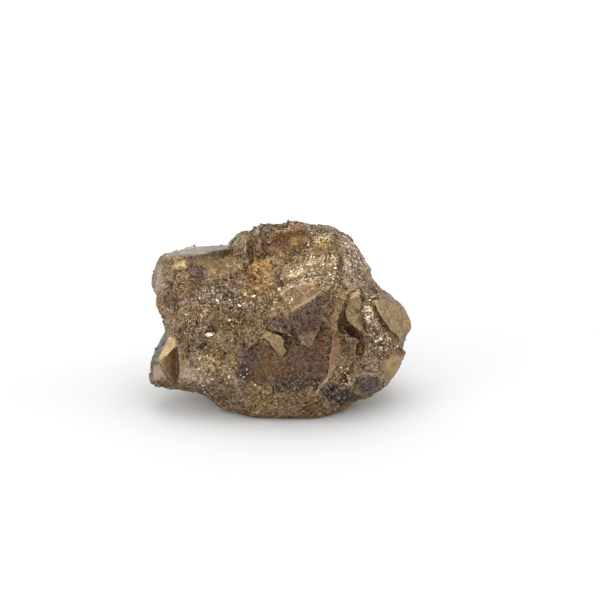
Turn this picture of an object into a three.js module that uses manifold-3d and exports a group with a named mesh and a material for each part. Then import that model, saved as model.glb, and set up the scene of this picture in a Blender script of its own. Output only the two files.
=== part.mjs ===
// A lump of massive pyrite, small enough for a palm: one solid of crystals grown together, with broken
// faces, hollows where neighbours came away, a sugary skin of small crystals, and a small flat spot
// that it rests on. Millimetres, +Z up. The origin is the middle of the flat spot, +X runs to the
// right and +Y to the back.
//
// The lump is drawn by its crease lines: ridges, ledges, cracks and rims. They are joined up by a
// triangulation into a front sheet and a back sheet, which share one outline and close the solid.
import * as THREE from "three";
import { mergeVertices } from "three/addons/utils/BufferGeometryUtils.js";
import Module from "manifold-3d";

const wasm = await Module();
wasm.setup();

// Driving dimensions. The front is drawn as an eye in front of the lump sees it, looking a little down.
const eyeDistance = 450;
const eyeElevation = THREE.MathUtils.degToRad(22);
const aim = new THREE.Vector3(3.3, 4.0, 17.0);
const aimAcross = 3.3;
const aimUp = 20.4;
const eyeUp = new THREE.Vector3(0, Math.sin(eyeElevation), Math.cos(eyeElevation));
const eyeAhead = new THREE.Vector3(0, Math.cos(eyeElevation), -Math.sin(eyeElevation));

// A point as the eye sees it: across from the lump's middle, up from its foot, and behind the upright
// picture plane through the point that the eye aims at. Negative is nearer to the eye.
function seen([across, up, behind]) {
  const spread = 1 + behind / eyeDistance;
  return new THREE.Vector3(aim.x + (across - aimAcross) * spread, aim.y, aim.z)
    .addScaledVector(eyeUp, (up - aimUp) * spread)
    .addScaledVector(eyeAhead, behind);
}

function at(x, y, z) {
  return new THREE.Vector3(x, y, z);
}

// Where the eye sees a point of the part's own axes.
function look(point) {
  const arm = point.clone().sub(aim);
  const behind = arm.dot(eyeAhead);
  const spread = 1 + behind / eyeDistance;
  return [aimAcross + arm.x / spread, aimUp + arm.dot(eyeUp) / spread, behind];
}

// The outline, clockwise from the lower left corner.
const outline = [
  [-22.5, 8.0, -0.6], [-22.5, 9.4, -0.6], [-22.2, 10.4, -0.4], [-21.6, 11.7, -0.2],
  [-21.0, 12.9, 0], [-20.3, 14.3, 0.2], [-20.0, 15.0, 0.4], [-20.1, 15.6, 0.4], [-20.35, 16.4, 0.2],
  [-20.4, 17.4, 0], [-20.8, 18.0, -0.2], [-21.2, 18.7, -0.3], [-21.55, 19.6, -0.3],
  [-21.5, 20.3, -0.2], [-21.3, 21.0, 0], [-21.8, 21.9, 0], [-22.1, 22.8, 0.1], [-22.1, 24.2, 0.2],
  [-21.9, 25.5, 0.3], [-21.5, 26.5, 0.5], [-21.0, 27.4, 0.8], [-20.4, 28.0, 1.0],
  [-19.5, 28.4, 1.4], [-18.4, 28.7, 1.8], [-17.5, 28.9, 2.4], [-16.0, 29.2, 3.0],
  [-14.2, 29.6, 3.6], [-11.0, 29.75, 3.8], [-8.9, 29.9, 3.2], [-8.6, 30.2, 2.2], [-8.4, 30.9, 1.4],
  [-7.9, 31.6, 1.2], [-7.0, 32.0, 1.2], [-6.0, 32.1, 1.2], [-5.2, 32.1, 1.2], [-4.8, 32.6, 1.0],
  [-4.0, 33.1, 1.0], [-3.0, 33.4, 1.0], [-2.0, 33.65, 1.0], [-1.2, 33.5, 1.0], [-0.5, 33.3, 1.0],
  [0.1, 33.25, 1.0], [1.0, 33.7, 1.0], [2.2, 33.95, 1.0], [3.0, 33.8, 1.0], [4.0, 33.5, 1.0],
  [5.0, 33.4, 0.8], [7.1, 33.25, 0.6], [8.3, 33.1, 0.6], [9.2, 32.9, 0.6], [10.1, 32.3, 0.8],
  [11.0, 31.8, 1.0], [12.1, 31.0, 1.4], [12.9, 29.9, 1.8], [13.6, 28.9, 2.0], [14.3, 27.8, 2.0],
  [14.6, 27.0, 2.0], [15.3, 26.2, 1.8], [15.5, 25.6, 1.6], [15.6, 24.7, 1.4], [15.9, 24.0, 1.2],
  [16.8, 23.0, 1.0], [17.4, 22.2, 0.8], [17.9, 22.0, 0.8], [18.7, 21.5, 0.7], [19.4, 20.7, 0.6],
  [20.1, 20.3, 0.5], [20.6, 19.8, 0.4], [21.1, 19.3, 0.4], [21.6, 18.4, 0.3], [22.0, 17.5, 0.3],
  [22.4, 16.8, 0.2], [22.55, 15.9, 0.2], [22.3, 15.0, 0], [21.6, 14.4, 0], [21.2, 13.3, 0],
  [21.0, 12.7, 0], [20.8, 11.9, 0.2], [21.3, 11.7, 0], [21.45, 11.3, 0], [21.1, 10.6, 0],
  [20.7, 9.4, 0], [20.0, 8.0, 0], [19.0, 6.6, 0], [18.2, 5.7, -0.2], [17.1, 4.9, -0.4],
  [16.4, 4.6, -0.6], [16.1, 4.3, -0.8], [15.7, 3.8, -1.0], [15.0, 3.5, -1.2], [14.2, 3.2, -1.6],
  [13.2, 3.1, -2.0], [12.6, 2.8, -2.2], [11.8, 2.0, -2.4], [11.0, 1.5, -2.8], [10.0, 1.35, -3.0],
  [9.0, 1.0, -3.4], [7.8, 0.5, -3.9], [7.0, 0.15, -4.4], [5.5, -0.05, -4.6], [3.5, -0.05, -4.6],
  [2.0, 0.05, -4.6], [0, 0.1, -4.6], [-2.0, 0.05, -4.5], [-4.0, 0.2, -4.4], [-5.5, 0.4, -4.0],
  [-7.0, 0.8, -3.4], [-8.7, 1.3, -3.0], [-9.7, 1.5, -2.8], [-10.1, 1.8, -2.6], [-10.3, 2.1, -2.4],
  [-11.5, 3.0, -1.4], [-12.5, 3.6, -0.6], [-13.5, 4.3, 0], [-14.5, 4.6, 0.4], [-15.6, 4.8, 0.6],
  [-17.6, 4.95, 0.6], [-20.0, 5.3, 0.4], [-21.7, 5.7, 0], [-22.3, 6.05, -0.4], [-22.5, 6.7, -0.6],
];

// Towards the ends the outline sways to and fro in depth, as a broken edge does.
const sway = 1.2;
const swayed = outline.map(([across, up, behind]) => {
  const { smoothstep } = THREE.MathUtils;
  const share = smoothstep(Math.abs(across), 10, 16) * smoothstep(up, 5, 9);
  return [across, up, behind + sway * share * Math.sin(up * 0.6 + Math.sign(across))];
});

// The crease lines of the front, feature by feature. Each point is [across, up, behind].
const front = {
  // The left shoulder: its flat top, seen almost edge on, the lip below it and the hollow under that.
  shoulderLip: [
    [-20.2, 27.6, -1.6], [-19.2, 27.95, -2.8], [-18.4, 28.15, -3.6], [-17.0, 27.95, -4.4],
    [-15.0, 28.1, -5.0], [-12.8, 28.55, -5.2], [-10.0, 29.2, -5.0], [-8.9, 29.2, -4.4],
  ],
  underLip: [[-15.2, 27.6, -4.9], [-12.4, 27.5, -4.6], [-10.2, 27.6, -4.1], [-8.7, 28.2, -3.5]],
  goldFacet: [
    [-18.6, 26.3, -5.2], [-17.6, 27.1, -4.8], [-16.3, 27.2, -5.0], [-16.2, 26.1, -5.9],
    [-17.9, 25.5, -6.0], [-18.6, 26.3, -5.2],
  ],
  purpleHollow: [[-16.4, 25.2, -6.0], [-15.2, 26.3, -5.2], [-13.2, 25.4, -4.8], [-14.0, 24.1, -5.6]],
  scoopFloor: [[-12.6, 26.2, -4.7], [-10.2, 25.6, -4.5], [-8.4, 25.0, -4.3], [-6.2, 24.7, -4.3]],
  scoopRim: [
    [-17.2, 24.6, -6.7], [-15.9, 23.9, -6.9], [-15.2, 23.1, -7.3], [-13.4, 22.2, -7.6],
    [-11.4, 21.9, -7.7], [-9.3, 22.2, -7.3],
  ],
  smallFacetTop: [[-9.1, 24.1, -5.1], [-7.8, 23.6, -5.4], [-6.4, 23.2, -5.8]],
  smallFacetFoot: [[-9.0, 22.6, -6.9], [-6.9, 22.0, -7.2], [-5.6, 21.8, -7.6]],
  leftEndRidge: [[-20.4, 26.2, -3.0], [-20.6, 24.0, -3.3], [-20.4, 22.2, -3.4], [-20.2, 20.6, -3.4]],
  leftGroove: [[-18.9, 24.3, -4.2], [-18.8, 23.2, -3.9], [-19.1, 22.1, -4.0], [-19.4, 21.1, -4.2]],
  leftGrooveBank: [[-18.2, 24.9, -5.9], [-18.1, 23.2, -5.9], [-18.5, 21.6, -5.8], [-18.7, 20.2, -5.6]],

  // The sugary left side.
  leftEdge: [[-19.9, 19.0, -3.9], [-19.6, 17.4, -4.0], [-19.0, 15.6, -4.3], [-18.2, 14.5, -4.6]],
  leftBulge: [[-16.4, 21.4, -7.3], [-16.2, 19.0, -7.8], [-15.8, 16.6, -7.8], [-15.6, 14.6, -7.4]],
  middleBulge: [[-12.4, 19.8, -8.6], [-9.0, 19.6, -9.2], [-5.6, 19.4, -9.4], [-2.6, 19.0, -9.6]],
  lowerBulge: [[-12.6, 16.4, -8.9], [-9.4, 16.0, -9.5], [-6.0, 16.2, -9.7], [-3.4, 16.6, -9.7]],
  glintLedge: [[-13.2, 14.2, -8.9], [-12.7, 14.7, -8.4], [-12.1, 15.0, -8.2], [-11.6, 14.85, -8.3]],
  glintLedgeFoot: [[-13.1, 14.0, -8.6], [-12.2, 14.1, -8.9], [-11.5, 14.3, -9.0]],
  redHollow: [[-14.8, 12.8, -7.2], [-13.4, 12.3, -7.3], [-12.4, 12.9, -7.8]],
  darkCrack: [[-16.1, 13.3, -6.4], [-15.9, 12.2, -6.1], [-15.7, 10.9, -6.3]],
  lowerLeftSwell: [[-14.0, 10.8, -7.8], [-14.4, 8.4, -6.9], [-14.6, 6.4, -5.4]],
  lowerMiddleSwell: [[-10.4, 12.6, -9.3], [-10.2, 9.6, -8.7], [-10.6, 6.4, -6.9], [-11.4, 4.6, -4.8]],

  // The corner crystal at the lower left, with its striated bright facet and the dark face beside it.
  brightFacetTop: [[-19.15, 14.15, -3.4], [-18.4, 13.85, -3.9], [-17.7, 13.6, -4.4]],
  brightFacetLeft: [
    [-19.15, 14.15, -3.4], [-20.0, 12.9, -3.9], [-20.5, 11.6, -4.6], [-20.9, 10.4, -5.5],
  ],
  brightFacetEdge: [
    [-17.7, 13.6, -4.4], [-18.2, 12.3, -5.3], [-19.4, 11.1, -5.7], [-20.85, 10.0, -6.0],
  ],
  darkFaceEdge: [
    [-20.85, 10.0, -6.0], [-20.8, 9.2, -5.7], [-20.3, 7.8, -4.9], [-19.6, 6.8, -4.2],
    [-18.9, 6.0, -3.2], [-18.3, 5.3, -2.0],
  ],
  darkFaceFoot: [
    [-17.95, 12.0, -4.4], [-17.85, 11.0, -3.8], [-17.8, 9.0, -3.2], [-17.8, 7.0, -2.4],
    [-17.8, 5.5, -1.2],
  ],
  sandLip: [
    [-17.5, 12.6, -6.0], [-17.35, 11.0, -6.2], [-17.3, 9.0, -5.9], [-17.35, 7.0, -5.0],
    [-17.3, 5.5, -3.0],
  ],
  paleFacet: [
    [-21.9, 9.0, -2.6], [-21.2, 9.2, -4.4], [-20.8, 9.2, -5.7], [-20.3, 7.8, -4.9],
    [-20.8, 6.8, -3.8], [-21.9, 6.8, -2.4], [-21.9, 9.0, -2.6],
  ],

  // The cleft and the knobs at the top, left of the hollow.
  knobRound: [[-8.1, 30.2, -1.2], [-7.5, 31.1, -0.6], [-6.4, 31.5, -0.4], [-5.6, 31.1, -0.9]],
  knobFront: [[-7.9, 28.9, -2.8], [-7.1, 29.8, -2.4], [-6.3, 29.9, -2.7], [-6.2, 28.4, -3.6]],
  cleftLeftBank: [[-6.0, 30.4, -2.5], [-5.95, 29.0, -3.3], [-5.9, 27.6, -3.9], [-5.7, 26.2, -4.4]],
  cleftFloor: [[-5.35, 30.6, -1.2], [-5.15, 29.2, -1.7], [-5.0, 28.0, -2.2], [-5.05, 26.9, -3.1]],
  cleftRightBank: [[-4.9, 31.0, -1.4], [-4.75, 29.4, -2.2], [-4.6, 28.0, -2.9], [-4.65, 26.6, -3.8]],
  columnEdge: [[-4.0, 31.9, -1.2], [-3.6, 30.2, -2.6], [-3.4, 28.4, -3.0]],
  columnSide: [[-2.7, 31.7, -1.0], [-2.3, 30.2, -1.3], [-2.1, 28.4, -1.9]],
  topKnob: [[-4.4, 32.3, -0.7], [-3.2, 32.8, -0.5], [-1.6, 32.7, -0.5]],

  // The hollow under the rim, and the stained slope below it.
  rimLip: [[-0.9, 32.3, -1.0], [1.0, 32.2, -1.3], [3.0, 32.5, -1.6], [4.7, 32.7, -1.7]],
  hollowBack: [[-1.4, 31.2, -0.7], [0.6, 31.2, -0.9], [2.6, 31.3, -1.2], [4.2, 31.7, -1.5]],
  hollowFloor: [[-1.2, 28.4, -1.9], [1.0, 28.7, -2.1], [2.9, 29.4, -2.6], [4.5, 30.5, -2.9]],
  stainTop: [[-4.3, 27.3, -3.4], [-3.0, 27.6, -2.6], [-1.2, 27.4, -2.4], [0.2, 26.9, -3.2]],
  stainFoot: [[-4.7, 25.2, -5.0], [-2.8, 25.1, -5.1], [-1.0, 25.3, -4.9]],
  slopeMiddle: [[-5.0, 23.4, -6.3], [-3.0, 23.3, -6.7], [-1.0, 23.5, -6.6]],
  slopeCrack: [[-4.3, 20.9, -8.4], [-3.5, 21.3, -8.1], [-2.8, 21.8, -7.9]],
  slopeFoot: [[-4.6, 20.4, -9.0], [-3.2, 20.9, -9.0], [-1.6, 21.6, -8.6]],

  // The long sugary back of the lump, from the middle up to the right.
  longRidge: [
    [0.2, 26.0, -5.2], [2.2, 27.2, -5.2], [4.2, 28.6, -4.9], [5.4, 30.0, -4.4], [5.6, 31.4, -3.4],
  ],
  goldBump: [
    [6.2, 30.4, -4.6], [7.3, 31.3, -4.4], [8.5, 30.7, -4.6], [7.4, 29.6, -5.6], [6.2, 30.4, -4.6],
  ],
  bumpTop: [[6.0, 32.5, -1.6], [7.6, 32.3, -2.2], [9.0, 31.8, -2.4]],
  backSwell: [[2.4, 25.8, -7.0], [4.8, 26.6, -7.3], [7.0, 27.4, -7.3], [9.0, 28.4, -6.4]],
  ledgeTop: [[0.5, 24.3, -7.6], [3.0, 24.8, -7.9], [6.4, 25.05, -8.2], [8.7, 24.95, -8.2]],
  ledgeFoot: [[0.6, 24.0, -7.7], [3.1, 24.45, -8.0], [6.4, 24.65, -8.2], [8.6, 24.6, -8.3]],

  // The crease down the right side, and the mottled slab beyond it.
  creaseLeftBank: [
    [9.4, 30.2, -4.2], [9.6, 28.4, -5.9], [9.6, 26.4, -7.3], [9.4, 24.4, -8.4], [9.6, 22.8, -9.0],
  ],
  creaseFloor: [
    [10.2, 30.0, -3.4], [10.2, 28.2, -4.8], [10.1, 26.2, -6.1], [9.95, 24.2, -7.3], [10.4, 22.7, -7.8],
  ],
  creaseRightBank: [[10.9, 29.6, -3.6], [10.9, 27.6, -4.9], [10.7, 25.4, -6.3], [10.8, 23.6, -7.3]],
  slabRidge: [[11.6, 30.4, -1.8], [12.8, 28.2, -2.2], [13.4, 26.2, -2.8], [14.2, 24.6, -3.0]],
  slabMiddle: [[12.0, 26.6, -4.4], [12.4, 24.6, -5.2], [12.8, 23.2, -5.9]],

  // The wedge-shaped crystal that stands out in the middle: its top, its dark face and its tip.
  wedgeBack: [
    [0.0, 21.05, -9.3], [1.0, 21.9, -9.0], [2.15, 23.0, -8.6], [4.4, 23.2, -9.2], [6.6, 22.8, -10.2],
  ],
  wedgeBackLedge: [[-0.2, 21.7, -8.6], [0.8, 22.5, -8.2], [1.9, 23.5, -8.0]],
  wedgeRidge: [[2.0, 18.6, -12.3], [3.4, 19.25, -12.7], [5.0, 20.2, -12.8], [6.9, 21.6, -12.4]],
  wedgeLeftFoot: [[-1.6, 19.6, -9.7], [0.0, 18.4, -10.9], [1.1, 17.5, -11.6], [2.0, 18.6, -12.3]],
  wedgeRightTop: [[6.9, 21.6, -12.4], [7.4, 22.4, -11.4], [6.6, 22.8, -10.2]],
  wedgeRightEdge: [[6.9, 21.6, -12.4], [7.1, 19.6, -11.4], [7.0, 17.4, -10.9], [6.6, 15.3, -10.6]],
  faceFoot: [
    [1.3, 17.1, -11.4], [2.0, 16.1, -11.0], [2.5, 15.5, -10.9], [4.5, 15.3, -10.9], [6.6, 15.3, -10.6],
  ],
  tipEdge: [
    [2.5, 15.5, -10.9], [2.9, 13.9, -11.6], [3.7, 13.0, -12.0], [4.75, 12.25, -12.3], [5.8, 13.7, -11.6],
    [6.6, 15.3, -10.6],
  ],
  tipFoot: [
    [2.1, 14.9, -9.6], [2.5, 13.6, -9.4], [3.4, 12.6, -9.1], [4.75, 11.75, -8.8], [6.2, 13.5, -9.4],
    [7.0, 15.3, -9.9],
  ],
  bump: [
    [7.3, 17.9, -11.0], [7.8, 18.3, -11.3], [8.3, 17.7, -11.0], [7.8, 17.0, -11.2], [7.3, 17.9, -11.0],
  ],
  columnRight: [[8.6, 22.2, -9.9], [8.7, 20.0, -10.4], [8.9, 17.6, -10.6], [8.9, 15.8, -10.6]],

  // The purple ledge to the left, and the pale blade below it.
  purpleLedge: [[-2.4, 17.4, -9.8], [-0.4, 17.6, -10.4], [0.9, 16.6, -10.8]],
  purpleLip: [[-2.6, 15.6, -9.6], [-0.8, 15.1, -10.2], [0.8, 14.6, -10.5], [2.0, 14.2, -10.0]],
  purpleLipFoot: [[-2.3, 15.25, -9.0], [-0.7, 14.8, -8.8], [0.8, 14.2, -8.8], [2.0, 13.7, -9.0]],
  blade: [
    [-3.3, 14.75, -9.5], [-2.5, 15.0, -9.6], [-1.2, 14.65, -10.0], [-0.1, 14.2, -10.4],
    [0.5, 13.3, -10.7], [0.4, 12.4, -10.8], [0.95, 11.6, -11.0], [0.3, 10.8, -11.0],
    [-0.5, 11.3, -10.8], [-1.4, 12.5, -10.5], [-2.3, 13.7, -10.0], [-3.3, 14.75, -9.5],
  ],
  bladeFoot: [[-3.0, 14.1, -9.5], [-1.8, 12.4, -9.1], [-0.7, 10.9, -8.8], [0.3, 10.35, -8.6]],
  bladeFootRight: [[1.3, 11.5, -8.8], [0.8, 12.5, -9.0], [0.95, 13.4, -9.0]],

  // The smooth dark hollow of the lower front.
  hollowRim: [
    [-3.6, 14.0, -9.9], [-4.9, 12.9, -9.8], [-6.2, 11.4, -9.4], [-7.2, 9.7, -8.8], [-7.6, 8.0, -8.1],
    [-7.4, 6.4, -7.2],
  ],
  hollowLeftFoot: [
    [-3.4, 13.2, -9.4], [-4.4, 12.2, -9.0], [-5.4, 10.8, -8.5], [-6.2, 9.2, -7.9], [-6.4, 7.4, -7.3],
  ],
  hollowMiddle: [[-3.0, 9.6, -8.2], [0.6, 9.4, -8.2], [4.0, 9.6, -8.3], [7.2, 10.0, -8.4]],
  hollowLower: [
    [-6.0, 6.6, -7.0], [-3.0, 6.3, -7.1], [0.4, 6.3, -7.2], [3.6, 6.7, -7.4], [6.2, 7.0, -7.6],
  ],
  sliverRight: [
    [9.3, 14.4, -10.2], [10.0, 13.4, -10.0], [10.05, 11.6, -9.6], [9.3, 9.2, -9.0], [8.6, 7.4, -8.4],
  ],
  sliverRidge: [
    [8.85, 14.6, -10.6], [8.7, 12.5, -10.2], [8.4, 10.0, -9.5], [8.1, 8.0, -8.8],
    [7.9, 7.0, -8.5], [7.1, 6.2, -8.3], [6.5, 5.5, -8.2], [6.2, 4.6, -8.2],
  ],
  sliverCrack: [
    [8.4, 14.5, -10.0], [8.25, 12.5, -9.4], [7.95, 10.0, -8.7], [7.7, 8.0, -8.0], [7.4, 7.2, -7.7],
    [6.6, 6.3, -7.6], [6.0, 5.6, -7.7],
  ],

  // The rounded band along the bottom.
  bandTop: [[-7.0, 4.9, -6.9], [-4.0, 4.5, -7.1], [-1.0, 4.3, -7.3], [2.0, 4.3, -7.5], [4.6, 4.3, -7.7]],
  bandMiddle: [
    [-9.0, 3.6, -5.4], [-6.0, 2.6, -6.4], [-2.0, 2.3, -6.8], [2.0, 2.2, -7.0], [6.0, 2.3, -6.8],
    [8.6, 2.6, -6.2],
  ],
  bandFoot: [[-6.0, 1.0, -5.3], [-2.0, 0.7, -5.7], [2.0, 0.7, -5.9], [5.6, 0.8, -5.8], [8.0, 1.3, -5.0]],

  // The crevice that cuts in behind the right block.
  creviceLeftLip: [
    [11.75, 22.0, -7.8], [11.1, 20.2, -8.8], [10.4, 18.6, -9.4], [9.7, 17.1, -9.9], [9.5, 15.4, -10.2],
  ],
  creviceFloor: [
    [12.0, 21.7, -7.4], [11.35, 20.0, -7.9], [10.75, 18.5, -7.9], [10.3, 16.8, -7.5],
    [10.4, 15.5, -7.2], [11.5, 15.0, -7.0], [12.9, 14.3, -7.2], [13.9, 13.8, -7.5],
  ],
  creviceLowerLip: [
    [9.9, 14.55, -10.0], [10.6, 14.2, -9.8], [11.6, 13.8, -9.4], [12.8, 13.4, -9.0], [14.1, 13.1, -8.4],
  ],
  creviceRightLip: [
    [12.25, 21.4, -7.7], [11.6, 19.8, -8.3], [11.1, 18.4, -8.5], [11.5, 17.1, -8.6],
    [12.3, 16.2, -8.8], [13.3, 15.4, -9.0], [14.5, 14.5, -9.0],
  ],

  // The right block: a pale left facet, a bright sugary strip and a smooth right facet.
  blockCrack: [[13.85, 18.3, -7.6], [14.1, 17.0, -7.5], [14.35, 16.0, -7.7], [14.75, 14.9, -8.2]],
  blockCrackBank: [[14.2, 18.4, -8.4], [14.5, 17.0, -8.5], [14.8, 16.0, -8.6], [15.2, 14.9, -8.8]],
  veeLeft: [[13.3, 22.2, -7.0], [13.55, 21.0, -7.7], [13.9, 19.7, -8.2]],
  veeFloor: [
    [13.6, 22.3, -6.3], [14.0, 21.0, -6.7], [14.5, 20.35, -6.9], [15.4, 20.4, -6.9], [16.6, 20.8, -5.4],
  ],
  veeTop: [[13.9, 22.3, -6.8], [14.5, 21.1, -7.2], [15.4, 20.8, -7.0], [16.8, 21.3, -5.4]],
  veeFoot: [[14.5, 19.85, -8.1], [15.4, 20.0, -8.0], [16.2, 19.8, -7.8]],
  rightFacetEdge: [
    [16.2, 19.8, -7.8], [16.9, 18.2, -7.7], [17.7, 16.9, -7.3], [18.7, 15.6, -6.6], [20.1, 14.2, -5.0],
    [21.0, 13.6, -2.6],
  ],
  rightGroove: [
    [16.2, 18.7, -7.2], [17.0, 17.3, -6.9], [17.9, 16.0, -6.4], [18.9, 14.9, -5.8], [20.2, 13.6, -4.2],
  ],
  rightFacetTop: [
    [17.2, 21.2, -4.8], [18.6, 20.8, -3.6], [20.2, 19.4, -2.4], [21.4, 17.2, -1.8], [21.8, 15.6, -1.8],
  ],
  blockStrip: [[15.4, 18.4, -8.9], [16.0, 16.0, -9.0], [16.6, 14.0, -8.6], [16.4, 12.2, -8.4]],
  blockLower: [[18.4, 13.4, -7.0], [19.4, 12.2, -5.2], [20.2, 12.6, -3.2]],

  // The lower right: an olive facet, a dark pocket, a gold pit, a purple lens and a smooth stained facet.
  oliveFacet: [
    [10.4, 13.5, -9.5], [12.9, 12.7, -8.7], [12.7, 11.2, -8.2], [11.8, 10.4, -8.3], [10.3, 11.2, -9.2],
  ],
  pocket: [[13.4, 12.8, -7.7], [14.1, 12.4, -7.5], [14.0, 11.2, -7.4], [13.2, 11.2, -7.6]],
  pocketBank: [[14.6, 12.9, -8.6], [14.5, 11.2, -8.2], [14.0, 10.6, -8.0]],
  pitRim: [
    [9.7, 8.6, -8.5], [11.4, 9.2, -8.4], [12.6, 8.2, -7.9], [12.4, 6.2, -7.2], [10.8, 5.3, -7.7],
    [9.5, 6.2, -8.2], [9.7, 8.6, -8.5],
  ],
  pitFloor: [[10.5, 7.9, -7.4], [11.5, 8.0, -7.0], [11.4, 6.6, -6.6]],
  shelf: [[13.4, 9.9, -7.9], [14.4, 8.6, -7.5], [16.2, 8.6, -6.9], [17.2, 9.4, -6.3]],
  lensLip: [[13.1, 7.6, -7.6], [14.8, 7.9, -7.2], [16.9, 7.7, -6.0]],
  lensTop: [[13.2, 7.2, -6.9], [14.8, 7.4, -6.4], [16.6, 7.2, -5.3]],
  lensFoot: [[12.6, 5.3, -6.0], [14.2, 4.5, -4.6], [15.8, 4.7, -3.4], [16.9, 5.6, -3.2]],
  stainedFacet: [
    [17.3, 10.3, -6.3], [19.4, 10.8, -4.0], [20.5, 10.2, -2.0], [19.4, 7.8, -1.8], [18.0, 6.4, -2.2],
    [17.2, 7.2, -5.0], [17.3, 10.3, -6.3],
  ],
  lowerRight: [[7.4, 4.6, -7.8], [9.4, 4.2, -7.2], [11.4, 4.0, -6.0], [12.6, 3.9, -4.6]],
};

// The crease lines of the sides that the eye doesn't see, in the part's own axes.
const back = {
  foot: [
    [-3.8, -6.2, -0.25], [-5.6, -4.0, -0.25], [-6.4, 1.0, -0.25], [-5.0, 5.6, -0.25],
    [-1.0, 7.8, -0.25], [4.0, 7.6, -0.25], [7.4, 4.4, -0.25], [7.8, -1.0, -0.25], [6.4, -5.8, -0.25],
    [1.0, -6.6, -0.25], [-3.8, -6.2, -0.25],
  ],
  crownEdge: [
    [-7.2, 11.4, 25.4], [-4.2, 12.8, 26.3], [0.5, 13.4, 26.8], [5.4, 13.1, 26.7], [9.4, 11.8, 26.0],
    [12.2, 10.6, 24.0], [13.8, 10.0, 21.6],
  ],
  crownLedge: [[-4.4, 14.4, 23.2], [0.6, 15.6, 23.7], [5.2, 15.0, 23.1], [9.0, 13.4, 22.0]],
  crownLedgeFoot: [[-4.2, 13.5, 22.3], [0.8, 14.6, 22.7], [5.0, 14.2, 22.2], [8.8, 12.8, 21.2]],
  crownLeftWall: [[-7.6, 13.0, 23.0], [-6.8, 14.0, 20.6]],
  shoulderEdge: [[-8.6, 13.6, 22.4], [-12.4, 13.4, 22.7], [-16.4, 11.8, 22.8], [-19.4, 8.8, 22.6]],
  shoulderLedge: [[-9.2, 14.6, 19.9], [-12.8, 14.4, 19.6], [-16.6, 12.2, 19.8], [-19.3, 9.6, 19.4]],
  shoulderLedgeFoot: [[-9.4, 13.8, 19.2], [-12.8, 13.4, 18.8], [-16.2, 11.4, 19.0]],
  upperBack: [
    [-19.2, 9.4, 16.2], [-15.0, 13.6, 16.6], [-10.4, 15.4, 17.2], [-6.2, 15.6, 18.2],
    [-1.4, 17.4, 18.6], [3.6, 17.2, 18.0], [8.4, 15.6, 17.4], [12.6, 14.2, 16.4],
    [16.8, 12.0, 15.2], [20.2, 8.8, 13.6],
  ],
  blockTop: [[-9.4, 15.4, 14.2], [-4.8, 18.3, 14.8], [-0.4, 17.4, 15.4]],
  blockTopFoot: [[-8.4, 15.2, 15.3], [-4.4, 16.7, 16.2], [-0.8, 16.9, 16.4]],
  blockEdge: [[-4.8, 18.3, 14.8], [-5.2, 17.6, 10.0]],
  dent: [
    [3.4, 16.4, 14.8], [6.4, 15.8, 15.4], [9.6, 14.0, 14.4], [9.9, 13.4, 11.2], [6.6, 15.0, 9.8],
    [3.4, 16.2, 10.8], [3.4, 16.4, 14.8],
  ],
  dentFloor: [[5.2, 14.2, 13.4], [7.8, 13.2, 12.6]],
  rightStep: [[12.4, 13.6, 13.6], [15.8, 11.6, 12.6], [18.4, 9.2, 11.8]],
  rightStepFoot: [[12.6, 12.6, 12.7], [15.4, 10.5, 11.7], [18.0, 8.2, 10.9]],
  lowerEdge: [
    [-18.6, 7.0, 10.4], [-14.2, 11.4, 9.4], [-9.0, 14.4, 8.4], [-4.6, 16.0, 7.4], [2.6, 15.8, 6.4],
    [8.0, 14.2, 6.8], [13.4, 11.2, 7.4], [17.8, 7.2, 8.2],
  ],
  underEdge: [
    [-15.8, 5.2, 5.6], [-11.0, 9.2, 4.2], [-5.0, 11.8, 2.6], [2.4, 12.2, 1.9], [8.4, 9.4, 2.4],
    [12.8, 5.8, 3.8],
  ],
  leftUnder: [[-17.8, 2.2, 6.4], [-14.6, 1.2, 4.6], [-11.0, 1.6, 2.6], [-7.8, 1.8, 1.0]],
  rightUnder: [[10.2, 0.4, 1.4], [14.2, 1.4, 3.2], [17.2, 2.4, 5.2], [19.6, 3.0, 8.4]],
};

// Larger crystals that stand partly out of the back and the ends: middle, edges and turn in degrees.
const largeCrystals = [
  { middle: [-12.2, 11.4, 12.4], edges: [6.6, 6.0, 7.4], turn: [24, 12, 33] },
  { middle: [-16.0, 8.2, 17.6], edges: [5.4, 6.2, 5.0], turn: [-18, 28, 16] },
  { middle: [11.6, 10.6, 9.6], edges: [6.4, 7.0, 5.6], turn: [30, -16, -24] },
  { middle: [12.4, 10.2, 14.6], edges: [5.6, 5.0, 5.4], turn: [-22, 18, -38] },
  { middle: [2.4, 12.4, 21.8], edges: [7.4, 5.6, 4.8], turn: [-28, 6, 12] },
  { middle: [3.6, 12.6, 5.8], edges: [7.2, 5.2, 5.6], turn: [38, 10, -14] },
  { middle: [-5.8, 12.8, 7.2], edges: [5.2, 5.4, 6.0], turn: [20, -24, 30] },
  { middle: [17.6, 4.8, 10.4], edges: [4.6, 5.6, 5.0], turn: [12, 34, -20] },
];

// The smooth crystal faces of the front: middle across, middle up and reach. The rest is sugary.
const smoothFaces = [
  [-14.5, 28.9, 4.5], [-19.4, 12.0, 2.2], [-19.6, 8.2, 2.6], [-7.6, 22.9, 1.8], [-3.6, 30.6, 2.4],
  [2.4, 29.8, 2.6], [5.0, 21.4, 3.2], [5.0, 17.6, 3.4], [4.6, 13.6, 2.2], [-0.9, 13.2, 2.4],
  [-1.0, 9.4, 5.2], [4.8, 9.4, 4.2], [9.2, 11.4, 2.2], [12.6, 18.0, 2.6], [19.4, 18.0, 2.8],
  [11.6, 12.2, 1.8], [15.0, 6.4, 2.2], [18.9, 8.6, 2.2],
];

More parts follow.
